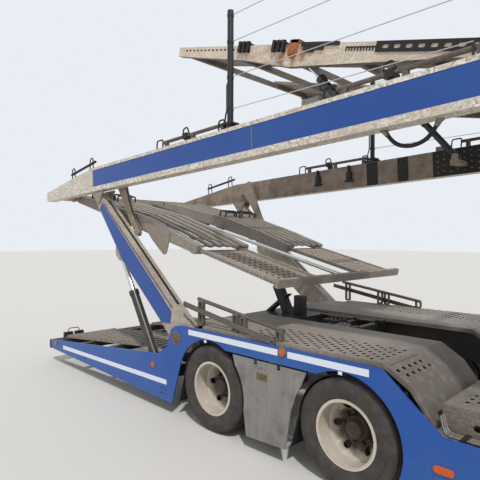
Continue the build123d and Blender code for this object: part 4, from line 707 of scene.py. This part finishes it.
skirtRivet = stencil("skirtRivet", rivetHead(skirtFittings["rivetRadius"]))
bezels, covers, markers, rivets = bmesh.new(), bmesh.new(), bmesh.new(), []
for side in (-1, 1):
    for reach, z, radius in skirtFittings["lamps"]:
        wide, high = skirtFittings["bezelWidth"], skirtFittings["bezelHeight"]
        ring = [(-0.001, radius + 0.0003), (high * 0.7, radius + 0.0003), (high, radius + wide * 0.4),
                (high * 0.7, radius + wide), (-0.001, radius + wide)]
        addLathe(bezels, [(side * y, r) for y, r in ring], skirtAt(reach), side * halfWidth, z, 24)
    reach, z = skirtFittings["coverPlace"]
    r = skirtFittings["coverRadius"]
    dome = [(-0.001, 0.0005), (-0.001, r), (0.004, r), (0.006, r * 0.86), (0.0075, r * 0.55),
            (0.0105, r * 0.30), (0.0115, r * 0.16), (0.0115, 0.0005)]
    addLathe(covers, [(side * y, q) for y, q in dome], skirtAt(reach), side * halfWidth, z, 32)
    ring = [(-0.001, r + 0.004), (0.006, r + 0.004), (0.008, r + 0.008), (0.006, r + 0.014),
            (-0.001, r + 0.014)]
    addLathe(bezels, [(side * y, q) for y, q in ring], skirtAt(reach), side * halfWidth, z, 32)
    for reach, z in skirtFittings["markers"]:
        wide, high = skirtFittings["markerSize"]
        y = across(side, halfWidth - 0.001, halfWidth + 0.003)
        addBox(markers, (skirtAt(reach) - wide / 2, y[0], z - high / 2),
               (skirtAt(reach) + wide / 2, y[1], z + high / 2))
    for reach, z in skirtFittings["rivetPlaces"]:
        mesh = grow(staggeredRows, {
            "Rows": skirtFittings["rivetRows"], "Columns": skirtFittings["rivetColumns"],
            "Row Pitch": skirtFittings["rowPitch"], "Column Pitch": skirtFittings["columnPitch"],
            "Stagger": 0.006, "Piece": skirtRivet, "Finish": blackFitting})
        rivets.append((mesh, outward(skirtAt(reach), z, side, halfWidth)))
for name, shape, material in (("lampBezels", bezels, steelFitting), ("pinCovers", covers, brassFitting),
                              ("whiteMarkers", markers, whiteMarker)):
    item = fromBmesh(name, shape, material, "chassis", smooth=name != "whiteMarkers")
item = placeGrown("skirtRivets", rivets, blackFitting, "chassis")
print("skirt fittings made")


# Wheel doors: a bronzed latch in its recess and three rivets above it

doorLatch = {
    "place": (0.628, 0.623), "plate": (0.100, 0.046), "recess": 0.005, "handle": (0.040, 0.011),
    "barrelRadius": 0.013, "barrelDepth": 0.005, "rivetPlace": (0.628, 0.694), "rivets": 3,
    "rivetPitch": 0.030, "rivetRadius": 0.0055,
}
doorRivet = stencil("doorRivet", rivetHead(doorLatch["rivetRadius"]))
for sideName, side in (("right", -1), ("left", 1)):
    shape = bmesh.new()
    reach, z = doorLatch["place"]
    x = skirtAt(reach)
    wide, high = doorLatch["plate"]
    y = across(side, halfWidth - doorLatch["recess"] - 0.001, halfWidth - doorLatch["recess"] + 0.0015)
    addBox(shape, (x - wide / 2, y[0], z - high / 2), (x + wide / 2, y[1], z + high / 2))
    wide, high = doorLatch["handle"]
    y = across(side, halfWidth - doorLatch["recess"], halfWidth - 0.0004)
    addBox(shape, (x - wide / 2, y[0], z - high / 2), (x + wide / 2, y[1], z + high / 2))
    addCylinder(shape, (x, side * (halfWidth - 0.0026), z), (0, 1, 0), doorLatch["barrelRadius"],
                doorLatch["barrelDepth"], 20)
    item = fromBmesh(f"doorLatch_{sideName}", shape, brassFitting, f"{sideName}_door")
    reach, z = doorLatch["rivetPlace"]
    mesh = grow(staggeredRows, {
        "Rows": doorLatch["rivets"], "Columns": 1, "Row Pitch": doorLatch["rivetPitch"], "Column Pitch": 0.0,
        "Stagger": 0.004, "Piece": doorRivet, "Finish": brassFitting})
    item = placeGrown(f"doorRivets_{sideName}", [(mesh, outward(skirtAt(reach), z, side, halfWidth))],
                      brassFitting, f"{sideName}_door")
print("door latches made")


# Upper deck: joint strips of the panels, lamp boxes, lashing loops and clamps on the rails. Places on a slope
# are pairs of a distance along it and a height above it.

upper = {
    "beamTop": 0.380, "panelFoot": 0.152, "panelHead": 0.346, "panelFace": 1.271,
    "jointAlongs": (2.541, 4.95), "jointWidth": 0.009,
    "boxAlong": 3.10, "boxY": 1.21, "boxSize": (0.150, 0.052, 0.070),
    "railY": 1.195, "rails": [(1.240, 2.190), (3.300, 4.300)], "railUp": 0.450,
    "loopRod": 0.0075, "loopBend": 0.022, "clampBack": 0.10, "clampHalf": (0.028, 0.016),
    "hook": [(-0.045, 0.020), (-0.050, 0.070), (0.015, 0.085), (0.040, 0.020)], "hookBend": 0.024,
    "tailRail": (-0.760, -0.170), "tailTubeRadius": 0.016,
    "tailLoop": [(-0.045, -0.004), (-0.030, 0.165), (0.035, 0.175), (0.045, -0.001)],
    "taperStart": -1.425, "taperRun": 1.325, "taperLow": 0.215, "taperRise": 0.165,
}


def tailTop(along):
    # The beams taper behind the start of their panels
    return upper["taperLow"] + (along - upper["taperStart"]) / upper["taperRun"] * upper["taperRise"]


joints, clamps, boxes, loops = bmesh.new(), bmesh.new(), bmesh.new(), []
for side in (-1, 1):
    face = across(side, upper["panelFace"] - 0.001, upper["panelFace"] + 0.0025)
    for along in upper["jointAlongs"]:
        addSlopedBox(joints, deckPoint, (along - upper["jointWidth"] / 2, along + upper["jointWidth"] / 2),
                     (upper["panelFoot"], upper["panelHead"]), face)
    long, high, wide = upper["boxSize"]
    addSlopedBox(boxes, deckPoint, (upper["boxAlong"] - long / 2, upper["boxAlong"] + long / 2),
                 (upper["beamTop"] - 0.002, upper["beamTop"] + high),
                 across(side, upper["boxY"] - wide / 2, upper["boxY"] + wide / 2))
    for start, end in upper["rails"]:
        for first, second, inset in ((start - 0.115, start - 0.015, 0), (end - 0.10, end - 0.03, 0.022)):
            y = side * (upper["railY"] + inset)
            corners = [(first, upper["beamTop"] - 0.004), (first + 0.01, upper["railUp"] + 0.035),
                       (second + 0.01, upper["railUp"] + 0.035), (second, upper["beamTop"] - 0.004)]
            loops.append(roundedPath([deckPoint(a, u, y) for a, u in corners], upper["loopBend"]))
        middle = (start + end) / 2 - upper["clampBack"]
        y = side * upper["railY"]
        thick, thin = upper["clampHalf"]
        addSlopedBox(clamps, deckPoint, (middle - 0.030, middle + 0.030),
                     (upper["railUp"] - 0.030, upper["railUp"] + 0.026), (y - thick, y + thick))
        addSlopedBox(clamps, deckPoint, (middle - 0.012, middle + 0.055),
                     (upper["beamTop"] - 0.002, upper["railUp"] - 0.02), (y - thin, y + thin))
        hook = [deckPoint(middle + a, upper["railUp"] + u, y) for a, u in upper["hook"]]
        loops.append(roundedPath(hook, upper["hookBend"]))
    first, last = upper["tailRail"]
    y = side * upper["railY"]
    addRod(clamps, deckPoint(first - 0.05, tailTop(first) + 0.098, y),
           deckPoint(last, tailTop(last) + 0.105, y), upper["tailTubeRadius"], 14)
    for along in (first, last - 0.10):
        corners = [deckPoint(along + a, tailTop(along) + u, y) for a, u in upper["tailLoop"]]
        loops.append(roundedPath(corners, upper["loopBend"]))
item = fromBmesh("panelJoints", joints, steelFitting, "upper_deck")
item = fromBmesh("beamBoxes", boxes, steelFitting, "upper_deck")
item = fromBmesh("railClamps", clamps, blackFitting, "upper_deck", smooth=True)
item = bentRods("railLoops", loops, upper["loopRod"], blackFitting, "upper_deck")
print("deck rails made")


# Guard posts: a bolted foot with its lugs, collars where the four wires pass, and a stay beside the last post

postFeet = {
    "alongs": (2.235, 4.680, 7.020), "y": 1.2125, "wires": (0.177, 0.451, 0.752, 0.980), "wireRadius": 0.0036,
    "collarRadius": 0.030, "collarHeight": 0.026, "boltRadius": 0.009, "boltHeight": 0.052,
    "bolts": [(-0.046, -0.034), (-0.046, 0.034), (0.046, -0.034), (0.046, 0.034)],
    "blocks": [((-0.062, -0.048, 0.040), (0.062, 0.048, 0.056)),
               ((-0.088, -0.014, 0.010), (-0.052, 0.014, 0.034)),
               ((0.045, -0.020, 0.012), (0.095, 0.020, 0.030))],
    "stay": [(-0.072, 0.030), (-0.060, 0.13), (-0.043, 0.17), (-0.043, 0.40), (-0.020, 0.42)],
    "stayRadius": 0.007, "stayBend": 0.018,
}
feet, wires, stays = bmesh.new(), bmesh.new(), []
for side in (-1, 1):
    y = side * postFeet["y"]
    bases = [deckPoint(along, upper["beamTop"], y) for along in postFeet["alongs"]]
    for base in bases:
        for low, high in postFeet["blocks"]:
            addBox(feet, *((base.x + x, y + beside, base.z + z) for x, beside, z in (low, high)))
        for x, beside in postFeet["bolts"]:
            addCylinder(feet, (base.x + x, y + beside, base.z + 0.030), (0, 0, 1), postFeet["boltRadius"],
                        postFeet["boltHeight"], 6)
        for height in postFeet["wires"]:
            addCylinder(feet, (base.x, y, base.z + height), (0, 0, 1), postFeet["collarRadius"],
                        postFeet["collarHeight"], 20)
    stay = [Vector((bases[0].x + x, y, bases[0].z + z)) for x, z in postFeet["stay"]]
    stays.append(roundedPath(stay, postFeet["stayBend"]))
    rise = bases[2].z - bases[1].z
    for height in postFeet["wires"]:
        z = bases[0].z + height
        addRod(wires, (bases[0].x, y, z), (bases[1].x, y, z), postFeet["wireRadius"], 8)
        addRod(wires, (bases[1].x, y, z), (bases[2].x, y, z + rise), postFeet["wireRadius"], 8)
for name, shape, material in (("postFeet", feet, blackFitting), ("postWires", wires, brightWire)):
    item = fromBmesh(name, shape, material, "upper_deck", smooth=True)
item = bentRods("postStays", stays, postFeet["stayRadius"], blackFitting, "upper_deck")
print("guard posts fitted")


# Inner faces of the beams: a bolted wear plate, black bands and small brackets

wear = {
    "alongs": (3.00, 4.86), "ups": (0.099, 0.376), "innerY": 1.150, "thickness": 0.005, "boltRows": 26,
    "boltColumns": 4, "rowPitch": 0.070, "columnPitch": 0.062, "boltWidth": 0.016,
    "bands": [(2.190, 2.335), (2.590, 2.715)], "brackets": (1.475, 1.950), "bracketDepth": 0.030,
    "bracketParts": [(0.035, (0.190, 0.300)), (0.060, (0.180, 0.196)), (0.012, (0.300, 0.384))],
}
wearBolt = stencil("wearBolt", hexNut(wear["boltWidth"], 0.004, 0.004, 0.006))
plates, grown = bmesh.new(), []
for side in (-1, 1):
    ys = across(side, wear["innerY"] + 0.001, wear["innerY"] - wear["thickness"])
    for alongs in (wear["alongs"], *wear["bands"]):
        addSlopedBox(plates, deckPoint, alongs, wear["ups"], ys)
    for along in wear["brackets"]:
        ys = across(side, wear["innerY"] + 0.001, wear["innerY"] - wear["bracketDepth"])
        for half, ups in wear["bracketParts"]:
            addSlopedBox(plates, deckPoint, (along - half, along + half), ups, ys)
    mesh = grow(staggeredRows, {
        "Rows": wear["boltRows"], "Columns": wear["boltColumns"], "Row Pitch": wear["rowPitch"],
        "Column Pitch": wear["columnPitch"], "Stagger": 0.008, "Piece": wearBolt, "Finish": steelFitting})
    middle = deckPoint(sum(wear["alongs"]) / 2, sum(wear["ups"]) / 2, 0.0)
    turn = outward(middle.x, middle.z, -side, -(wear["innerY"] - wear["thickness"]))
    grown.append((mesh, Matrix.Translation(middle) @ Matrix.Rotation(-deckSlope, 4, "Y")
                  @ Matrix.Translation(-middle) @ turn))
item = fromBmesh("wearPlates", plates, blackFitting, "upper_deck")
item = placeGrown("wearPlateBolts", grown, steelFitting, "upper_deck")
print("wear plates made")


# Hydraulic hose: a loop of 27 mm braided hose hanging between two fittings below the right beam

deckHose = {
    "y": -1.190, "diameter": 0.027, "length": 0.468, "fittingLength": 0.05,
    "points": [(3.640, 0.095), (3.668, 0.052), (3.706, 0.004), (3.752, -0.024), (3.820, -0.037),
               (3.888, -0.024), (3.934, 0.004), (3.972, 0.052), (4.000, 0.095)],
}
route = [deckPoint(along, up, deckHose["y"]) for along, up in deckHose["points"]]
curve = bpy.data.curves.new("deckHose", "CURVE")
curve.dimensions = "3D"
curve.bevel_depth = deckHose["diameter"] / 2
curve.bevel_resolution = 4
curve.resolution_u = 8
curve.use_fill_caps = True
spline = curve.splines.new("NURBS")
spline.points.add(len(route) - 1)
for point, place in zip(spline.points, route):
    point.co = (*place, 1.0)
spline.order_u = 3
spline.use_endpoint_u = True
hose = bpy.data.objects.new("deckHose", curve)
collection.objects.link(hose)
curve.materials.append(slotMaterials["black_plastic"])
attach(hose, "upper_deck")
fittings = bmesh.new()
for end, toward in ((route[0], route[1]), (route[-1], route[-2])):
    lead = (toward - end).normalized()
    addCylinder(fittings, end + lead * 0.022, lead, 0.021, deckHose["fittingLength"], 16, 0.0155)
    addCylinder(fittings, end - lead * 0.004, lead, 0.024, 0.018, 6)
item = fromBmesh("hoseFittings", fittings, steelFitting, "upper_deck")
print("hose made")


# Top tray: rusty pin plates at the cylinder eyes; on each side two groups of black clamps, a comb and stops

tray = {
    "sideY": 1.050, "eyeAlong": -1.900, "eyeDrop": -0.060, "plateRadius": 0.052,
    "clampAlongs": (-2.465, -2.055), "clampLength": 0.150, "clampUps": (-0.052, 0.006), "blocks": 3,
    "blockPitch": 0.052, "blockLength": 0.030, "combStart": -1.400, "combPitch": 0.0245, "combTeeth": 11,
    "toothLength": 0.012,
    "wings": [((-1.820, -1.460), (-0.020, 0.008)), ((-1.790, -1.600), (-0.052, -0.018)),
              ((-1.770, -1.690), (-0.068, -0.050))],
}
castings, clamps = bmesh.new(), bmesh.new()
for side in (-1, 1):
    eye = trayPoint(tray["eyeAlong"], tray["eyeDrop"], 0.0)
    r = tray["plateRadius"]
    boss = [(-0.002, 0.0005), (-0.002, r), (0.008, r), (0.010, r * 0.9), (0.010, r * 0.55),
            (0.020, r * 0.5), (0.022, r * 0.4), (0.022, 0.0005)]
    addLathe(castings, [(side * y, q) for y, q in boss], eye.x, side * tray["sideY"], eye.z, 28)
    addSlopedBox(castings, trayPoint, (tray["eyeAlong"] - 0.045, tray["eyeAlong"] + 0.045),
                 (tray["eyeDrop"], 0.030), across(side, tray["sideY"] - 0.001, tray["sideY"] + 0.008))
    addSlopedBox(castings, trayPoint, (tray["eyeAlong"] - 0.030, tray["eyeAlong"] + 0.050), (0.008, 0.034),
                 across(side, tray["sideY"] - 0.060, tray["sideY"] + 0.008))
    for along in tray["clampAlongs"]:
        half = tray["clampLength"] / 2
        lower, higher = tray["clampUps"]
        ys = across(side, tray["sideY"] - 0.001, tray["sideY"] + 0.016)
        addSlopedBox(clamps, trayPoint, (along - half, along + half), (lower, lower + 0.016), ys)
        addSlopedBox(clamps, trayPoint, (along - half, along + half), (higher, higher + 0.010),
                     across(side, tray["sideY"] - 0.045, tray["sideY"] + 0.016))
        for i in range(tray["blocks"]):
            start = along - half + 0.008 + i * tray["blockPitch"]
            addSlopedBox(clamps, trayPoint, (start, start + tray["blockLength"]), (lower - 0.010, 0.030),
                         across(side, tray["sideY"] - 0.001, tray["sideY"] + 0.024))
    for i in range(tray["combTeeth"]):
        along = tray["combStart"] + i * tray["combPitch"]
        addSlopedBox(clamps, trayPoint, (along, along + tray["toothLength"]), (-0.062, -0.036),
                     across(side, tray["sideY"] - 0.001, tray["sideY"] + 0.003))
    combEnd = tray["combStart"] + tray["combTeeth"] * tray["combPitch"]
    addSlopedBox(clamps, trayPoint, (tray["combStart"], combEnd),
                 (-0.040, -0.031), across(side, tray["sideY"] - 0.001, tray["sideY"] + 0.003))
    for alongs, ups in tray["wings"]:
        ys = across(side, tray["sideY"] - 0.001, tray["sideY"] + 0.012)
        addSlopedBox(clamps, trayPoint, alongs, ups, ys)
item = fromBmesh("trayPinPlates", castings, rustFitting, "tray", smooth=True)
item = fromBmesh("trayClamps", clamps, blackFitting, "tray")
print("tray fittings made")


# Platform: chock bars across the tracks

chock = {
    "places": [(0.270, -1), (1.300, 1)], "ys": (0.400, 0.985), "height": 0.075, "depth": 0.110,
    "rod": 0.011, "crown": 0.066, "crownRun": 1.494, "bend": 0.024, "gap": 0.02,
}
bars = []
for along, side in chock["places"]:
    # The tracks rise to their crown over this run
    crown = chock["crown"] * min(1.0, (along + 0.06) / chock["crownRun"])
    middle = sum(chock["ys"]) / 2
    foot, top = crown - 0.004, crown + chock["height"]
    for y0, y1 in ((chock["ys"][0], middle - chock["gap"]), (middle + chock["gap"], chock["ys"][1])):
        for a in (along - chock["depth"] / 2, along + chock["depth"] / 2):
            corners = [platformPoint(a, foot, side * y0), platformPoint(a, top, side * y0),
                       platformPoint(a, top, side * y1), platformPoint(a, foot, side * y1)]
            bars.append(roundedPath(corners, chock["bend"]))
        for y in (y0 + 0.03, y1 - 0.03):
            bars.append([platformPoint(along - chock["depth"] / 2, top, side * y),
                         platformPoint(along + chock["depth"] / 2, top, side * y)])
item = bentRods("chockBars", bars, chock["rod"], blackFitting, "platform")
print("chock bars made")


# Sliding end: a row of pin holes along the outer faces of its side members, each drawn as a thin dark disc of
# painted shade

pinHoles = {
    "faceY": 1.015, "middleAlong": 3.100, "up": -0.052, "count": 24, "pitch": 0.040, "radius": 0.0065,
}
shape = bmesh.new()
addCylinder(shape, (0, 0, 0), (0, 0, 1), pinHoles["radius"], 0.0016, 8)
pinHole = stencil("pinHole", shape)
grown = []
for side in (-1, 1):
    mesh = grow(staggeredRows, {"Rows": pinHoles["count"], "Columns": 1, "Row Pitch": pinHoles["pitch"],
                                "Column Pitch": 0.0, "Stagger": 0.0, "Piece": pinHole, "Finish": holeShade})
    place = platformPoint(pinHoles["middleAlong"], pinHoles["up"], side * pinHoles["faceY"])
    turn = Matrix.Rotation(-platformSlope, 4, "Y") @ Matrix.Rotation(math.radians(90), 4, "X")
    grown.append((mesh, Matrix.Translation(place) @ turn))
item = placeGrown("slidePinHoles", grown, holeShade, "platform_end")
print("pin holes made")


# Lower deck: steel hydraulic pipes on the bearers of the well, with their valve block, clips and end blocks,
# and three more along each edge of the front deck

well = {
    "ys": (-0.272, -0.246, -0.220, 0.228, 0.254), "start": 0.115, "end": 0.820, "bearerTop": 0.890,
    "radius": 0.0085, "clipReaches": (0.56, 0.80), "groups": ((-0.290, -0.202), (0.212, 0.272)),
    "valveReach": 0.52, "valveY": -0.06,
    "edgeYs": (1.170, 1.195, 1.220), "edgeTop": 0.565, "edgeStart": 1.985, "edgeEnd": 4.95,
    "edgeClips": (2.13, 2.91, 3.71, 4.46), "bend": 0.030, "clipHalf": 0.014, "clipOver": 0.005,
    "valveNuts": 4, "nutPitch": 0.045,
}
pipes, clips, valve = [], bmesh.new(), bmesh.new()


def addClip(reach, y0, y1, base):
    # A flat clip over the pipes that lie side by side on this height
    top = base + 2 * well["radius"] + well["clipOver"]
    addBox(clips, (skirtAt(reach) - well["clipHalf"], y0, base - 0.001),
           (skirtAt(reach) + well["clipHalf"], y1, top))


z = well["bearerTop"] + well["radius"]
for i, y in enumerate(well["ys"]):
    bend = well["valveReach"] + 0.10 + 0.05 * (i % 3)
    if y < 0:
        port = well["valveY"] - 0.06
        path = [Vector((skirtAt(well["end"]), y, z)), Vector((skirtAt(bend), y, z)),
                Vector((skirtAt(bend), port, z)),
                Vector((skirtAt(well["valveReach"] + 0.06), port + 0.03 * i, z))]
    else:
        path = [Vector((skirtAt(well["end"]), y, z)), Vector((skirtAt(well["start"]), y, z))]
    pipes.append(roundedPath(path, well["bend"]))
for side in (-1, 1):
    for y in well["edgeYs"]:
        z = well["edgeTop"] + well["radius"]
        path = [Vector((skirtAt(well["edgeStart"]), side * (y - 0.02), z + 0.10)),
                Vector((skirtAt(well["edgeStart"] + 0.035), side * y, z)),
                Vector((skirtAt(well["edgeEnd"]), side * y, z))]
        pipes.append(roundedPath(path, well["bend"]))
    for reach in well["edgeClips"]:
        edges = across(side, well["edgeYs"][0] - 0.016, well["edgeYs"][-1] + 0.016)
        addClip(reach, *edges, well["edgeTop"])
for reach in well["clipReaches"]:
    for y0, y1 in well["groups"]:
        addClip(reach, y0, y1, well["bearerTop"])
addBox(valve, (skirtAt(well["valveReach"]) - 0.10, well["valveY"] - 0.09, well["bearerTop"] - 0.02),
       (skirtAt(well["valveReach"]) + 0.07, well["valveY"] + 0.09, well["bearerTop"] + 0.034))
for i in range(well["valveNuts"]):
    x = skirtAt(well["valveReach"]) - 0.075 + well["nutPitch"] * i
    addCylinder(valve, (x, well["valveY"], well["bearerTop"] + 0.042), (0, 0, 1), 0.014, 0.030, 6)
for y0, y1 in well["groups"]:
    # Each group of pipes ends in a block on the last bearer
    addBox(valve, (skirtAt(well["end"]) - 0.012, y0 - 0.006, well["bearerTop"] - 0.03),
           (skirtAt(well["end"]) + 0.045, y1 + 0.006, well["bearerTop"] + 2 * well["radius"] + 0.010))
item = bentRods("wellPipes", pipes, well["radius"], steelFitting, "chassis")
for name, shape in (("pipeClips", clips), ("valveBlock", valve)):
    item = fromBmesh(name, shape, blackFitting, "chassis")
print("pipes made")


# Lift arms: dark strips of painted shade that stand for the grooves beside the panel and down the middle of the
# face that looks forwards

armSeamShade = {
    "slope": math.radians(41.5), "foot": 0.150, "taper": 0.0442, "outerY": 1.243, "middleY": 1.184,
    "alongs": (0.310, 2.040), "sideUps": (-0.044, -0.034), "faceHalf": 0.015, "proud": 0.0015,
}
for armName in ("rear", "front"):
    pin = jointPlace[f"{armName}_arms_lower"]

    def armPoint(along, up, y):
        # up counts from the arm's tapering forward face
        height = armSeamShade["foot"] - armSeamShade["taper"] * along + up
        c, s = math.cos(armSeamShade["slope"]), math.sin(armSeamShade["slope"])
        return Vector((pin.x - along * c + height * s, y, pin.z + along * s + height * c))

    # Thin black strips: painted shade of the grooves
    seamShade = bmesh.new()
    for side in (-1, 1):
        outer = across(side, armSeamShade["outerY"] - 0.001, armSeamShade["outerY"] + armSeamShade["proud"])
        addSlopedBox(seamShade, armPoint, armSeamShade["alongs"], armSeamShade["sideUps"], outer)
        middle = side * armSeamShade["middleY"]
        addSlopedBox(seamShade, armPoint, armSeamShade["alongs"], (-0.001, armSeamShade["proud"]),
                     (middle - armSeamShade["faceHalf"], middle + armSeamShade["faceHalf"]))
    item = fromBmesh(f"armSeams_{armName}", seamShade, blackFitting, f"{armName}_arms")
print("arm seams made")


# Tail lamps: two box lamps on each corner of the tail bar, joined by a bent conduit

tailLamps = {
    "reach": -3.322, "ys": (0.86, 1.02), "foot": 0.305, "size": (0.055, 0.120, 0.072), "lens": 0.024,
    "conduitRadius": 0.006, "conduitBend": 0.04, "conduitRise": 0.05,
}
boxes, lenses, conduits = bmesh.new(), bmesh.new(), []
for side in (-1, 1):
    for y in tailLamps["ys"]:
        deep, wide, high = tailLamps["size"]
        x, z = skirtAt(tailLamps["reach"]), tailLamps["foot"]
        addBox(boxes, (x - deep / 2, side * y - wide / 2, z - 0.002),
               (x + deep / 2, side * y + wide / 2, z + high))
        addCylinder(lenses, (x - deep / 2 - 0.002, side * y, z + high / 2), (1, 0, 0), tailLamps["lens"],
                    0.006, 20)
    ys = [side * y for y in tailLamps["ys"]]
    top = tailLamps["foot"] + tailLamps["size"][2]
    over = top + tailLamps["conduitRise"]
    path = [Vector((x, ys[0], top - 0.01)), Vector((x, ys[0], over)), Vector((x, ys[1], over)),
            Vector((x, ys[1], top - 0.01))]
    conduits.append(roundedPath(path, tailLamps["conduitBend"]))
item = fromBmesh("tailLampBoxes", boxes, blackFitting, "chassis")
item = fromBmesh("tailLampLenses", lenses, slotMaterials["red_lens"], "chassis", smooth=True)
item = bentRods("tailConduits", conduits, tailLamps["conduitRadius"], blackFitting, "chassis")
print("tail lamps made")

for item in stencils:
    bpy.data.meshes.remove(item.data)


# Floor, light and camera

stage = {
    "floor": "#CFCAC2", "backdrop": "#E9EEF4", "cameraPlace": (rearAxleX + 3.076, -3.975, 1.716),
    "yaw": 44.92, "pitch": -0.19, "roll": -0.17, "lens": 34.77, "sensor": 36.0,
    "sky": "#E3EAF3", "skyStrength": 0.82,
    "sunStrength": 2.2, "sunFrom": (1.5, -1.15, 2.4), "sunAngle": 3.0,
}

floorMesh = bpy.data.meshes.new("floor")
floorMesh.from_pydata([(-60, -60, 0), (60, -60, 0), (60, 60, 0), (-60, 60, 0)], [], [(0, 1, 2, 3)])
floor = bpy.data.objects.new("floor", floorMesh)
collection.objects.link(floor)
floorMesh.materials.append(plainMaterial("pale studio floor", stage["floor"], 0.9))

world = bpy.data.worlds.new("studio")
bpy.context.scene.world = world
world.use_nodes = True
# The camera, and gloss and glass, see the pale backdrop; the object is lit by the weaker sky
sky = world.node_tree.nodes["Background"]
sky.inputs["Color"].default_value = hexColour(stage["sky"])
sky.inputs["Strength"].default_value = stage["skyStrength"]
backdrop = addNode(world.node_tree, "ShaderNodeBackground", None, {
    "Color": hexColour(stage["backdrop"]), "Strength": 1.0})
rays = addNode(world.node_tree, "ShaderNodeLightPath").outputs
seen = rays["Is Camera Ray"]
for kind in ("Is Glossy Ray", "Is Transmission Ray"):
    seen = addNode(world.node_tree, "ShaderNodeMath", {"operation": "MAXIMUM"}, {
        0: seen, 1: rays[kind]}).outputs["Value"]
mixed = addNode(world.node_tree, "ShaderNodeMixShader", None, {
    0: seen, 1: sky.outputs["Background"], 2: backdrop.outputs["Background"]})
world.node_tree.links.new(mixed.outputs["Shader"], world.node_tree.nodes["World Output"].inputs["Surface"])

sunData = bpy.data.lights.new("sun", "SUN")
sunData.energy = stage["sunStrength"]
sunData.angle = math.radians(stage["sunAngle"])
sun = bpy.data.objects.new("sun", sunData)
collection.objects.link(sun)
sun.rotation_mode = "QUATERNION"
sun.rotation_quaternion = Vector(stage["sunFrom"]).to_track_quat("Z", "Y")

cameraData = bpy.data.cameras.new("camera")
cameraData.lens = stage["lens"]
cameraData.sensor_width = stage["sensor"]
cameraData.clip_start = 0.05
cameraData.clip_end = 200.0
camera = bpy.data.objects.new("camera", cameraData)
collection.objects.link(camera)
yaw, pitch, roll = (math.radians(stage[k]) for k in ("yaw", "pitch", "roll"))
forward = Vector((-math.sin(yaw) * math.cos(pitch), math.cos(yaw) * math.cos(pitch), math.sin(pitch)))
camera.location = stage["cameraPlace"]
camera.rotation_mode = "QUATERNION"
camera.rotation_quaternion = forward.to_track_quat("-Z", "Y") @ Matrix.Rotation(-roll, 3, "Z").to_quaternion()
bpy.context.scene.camera = camera
bpy.context.scene.view_settings.view_transform = "Standard"
print("stage made")
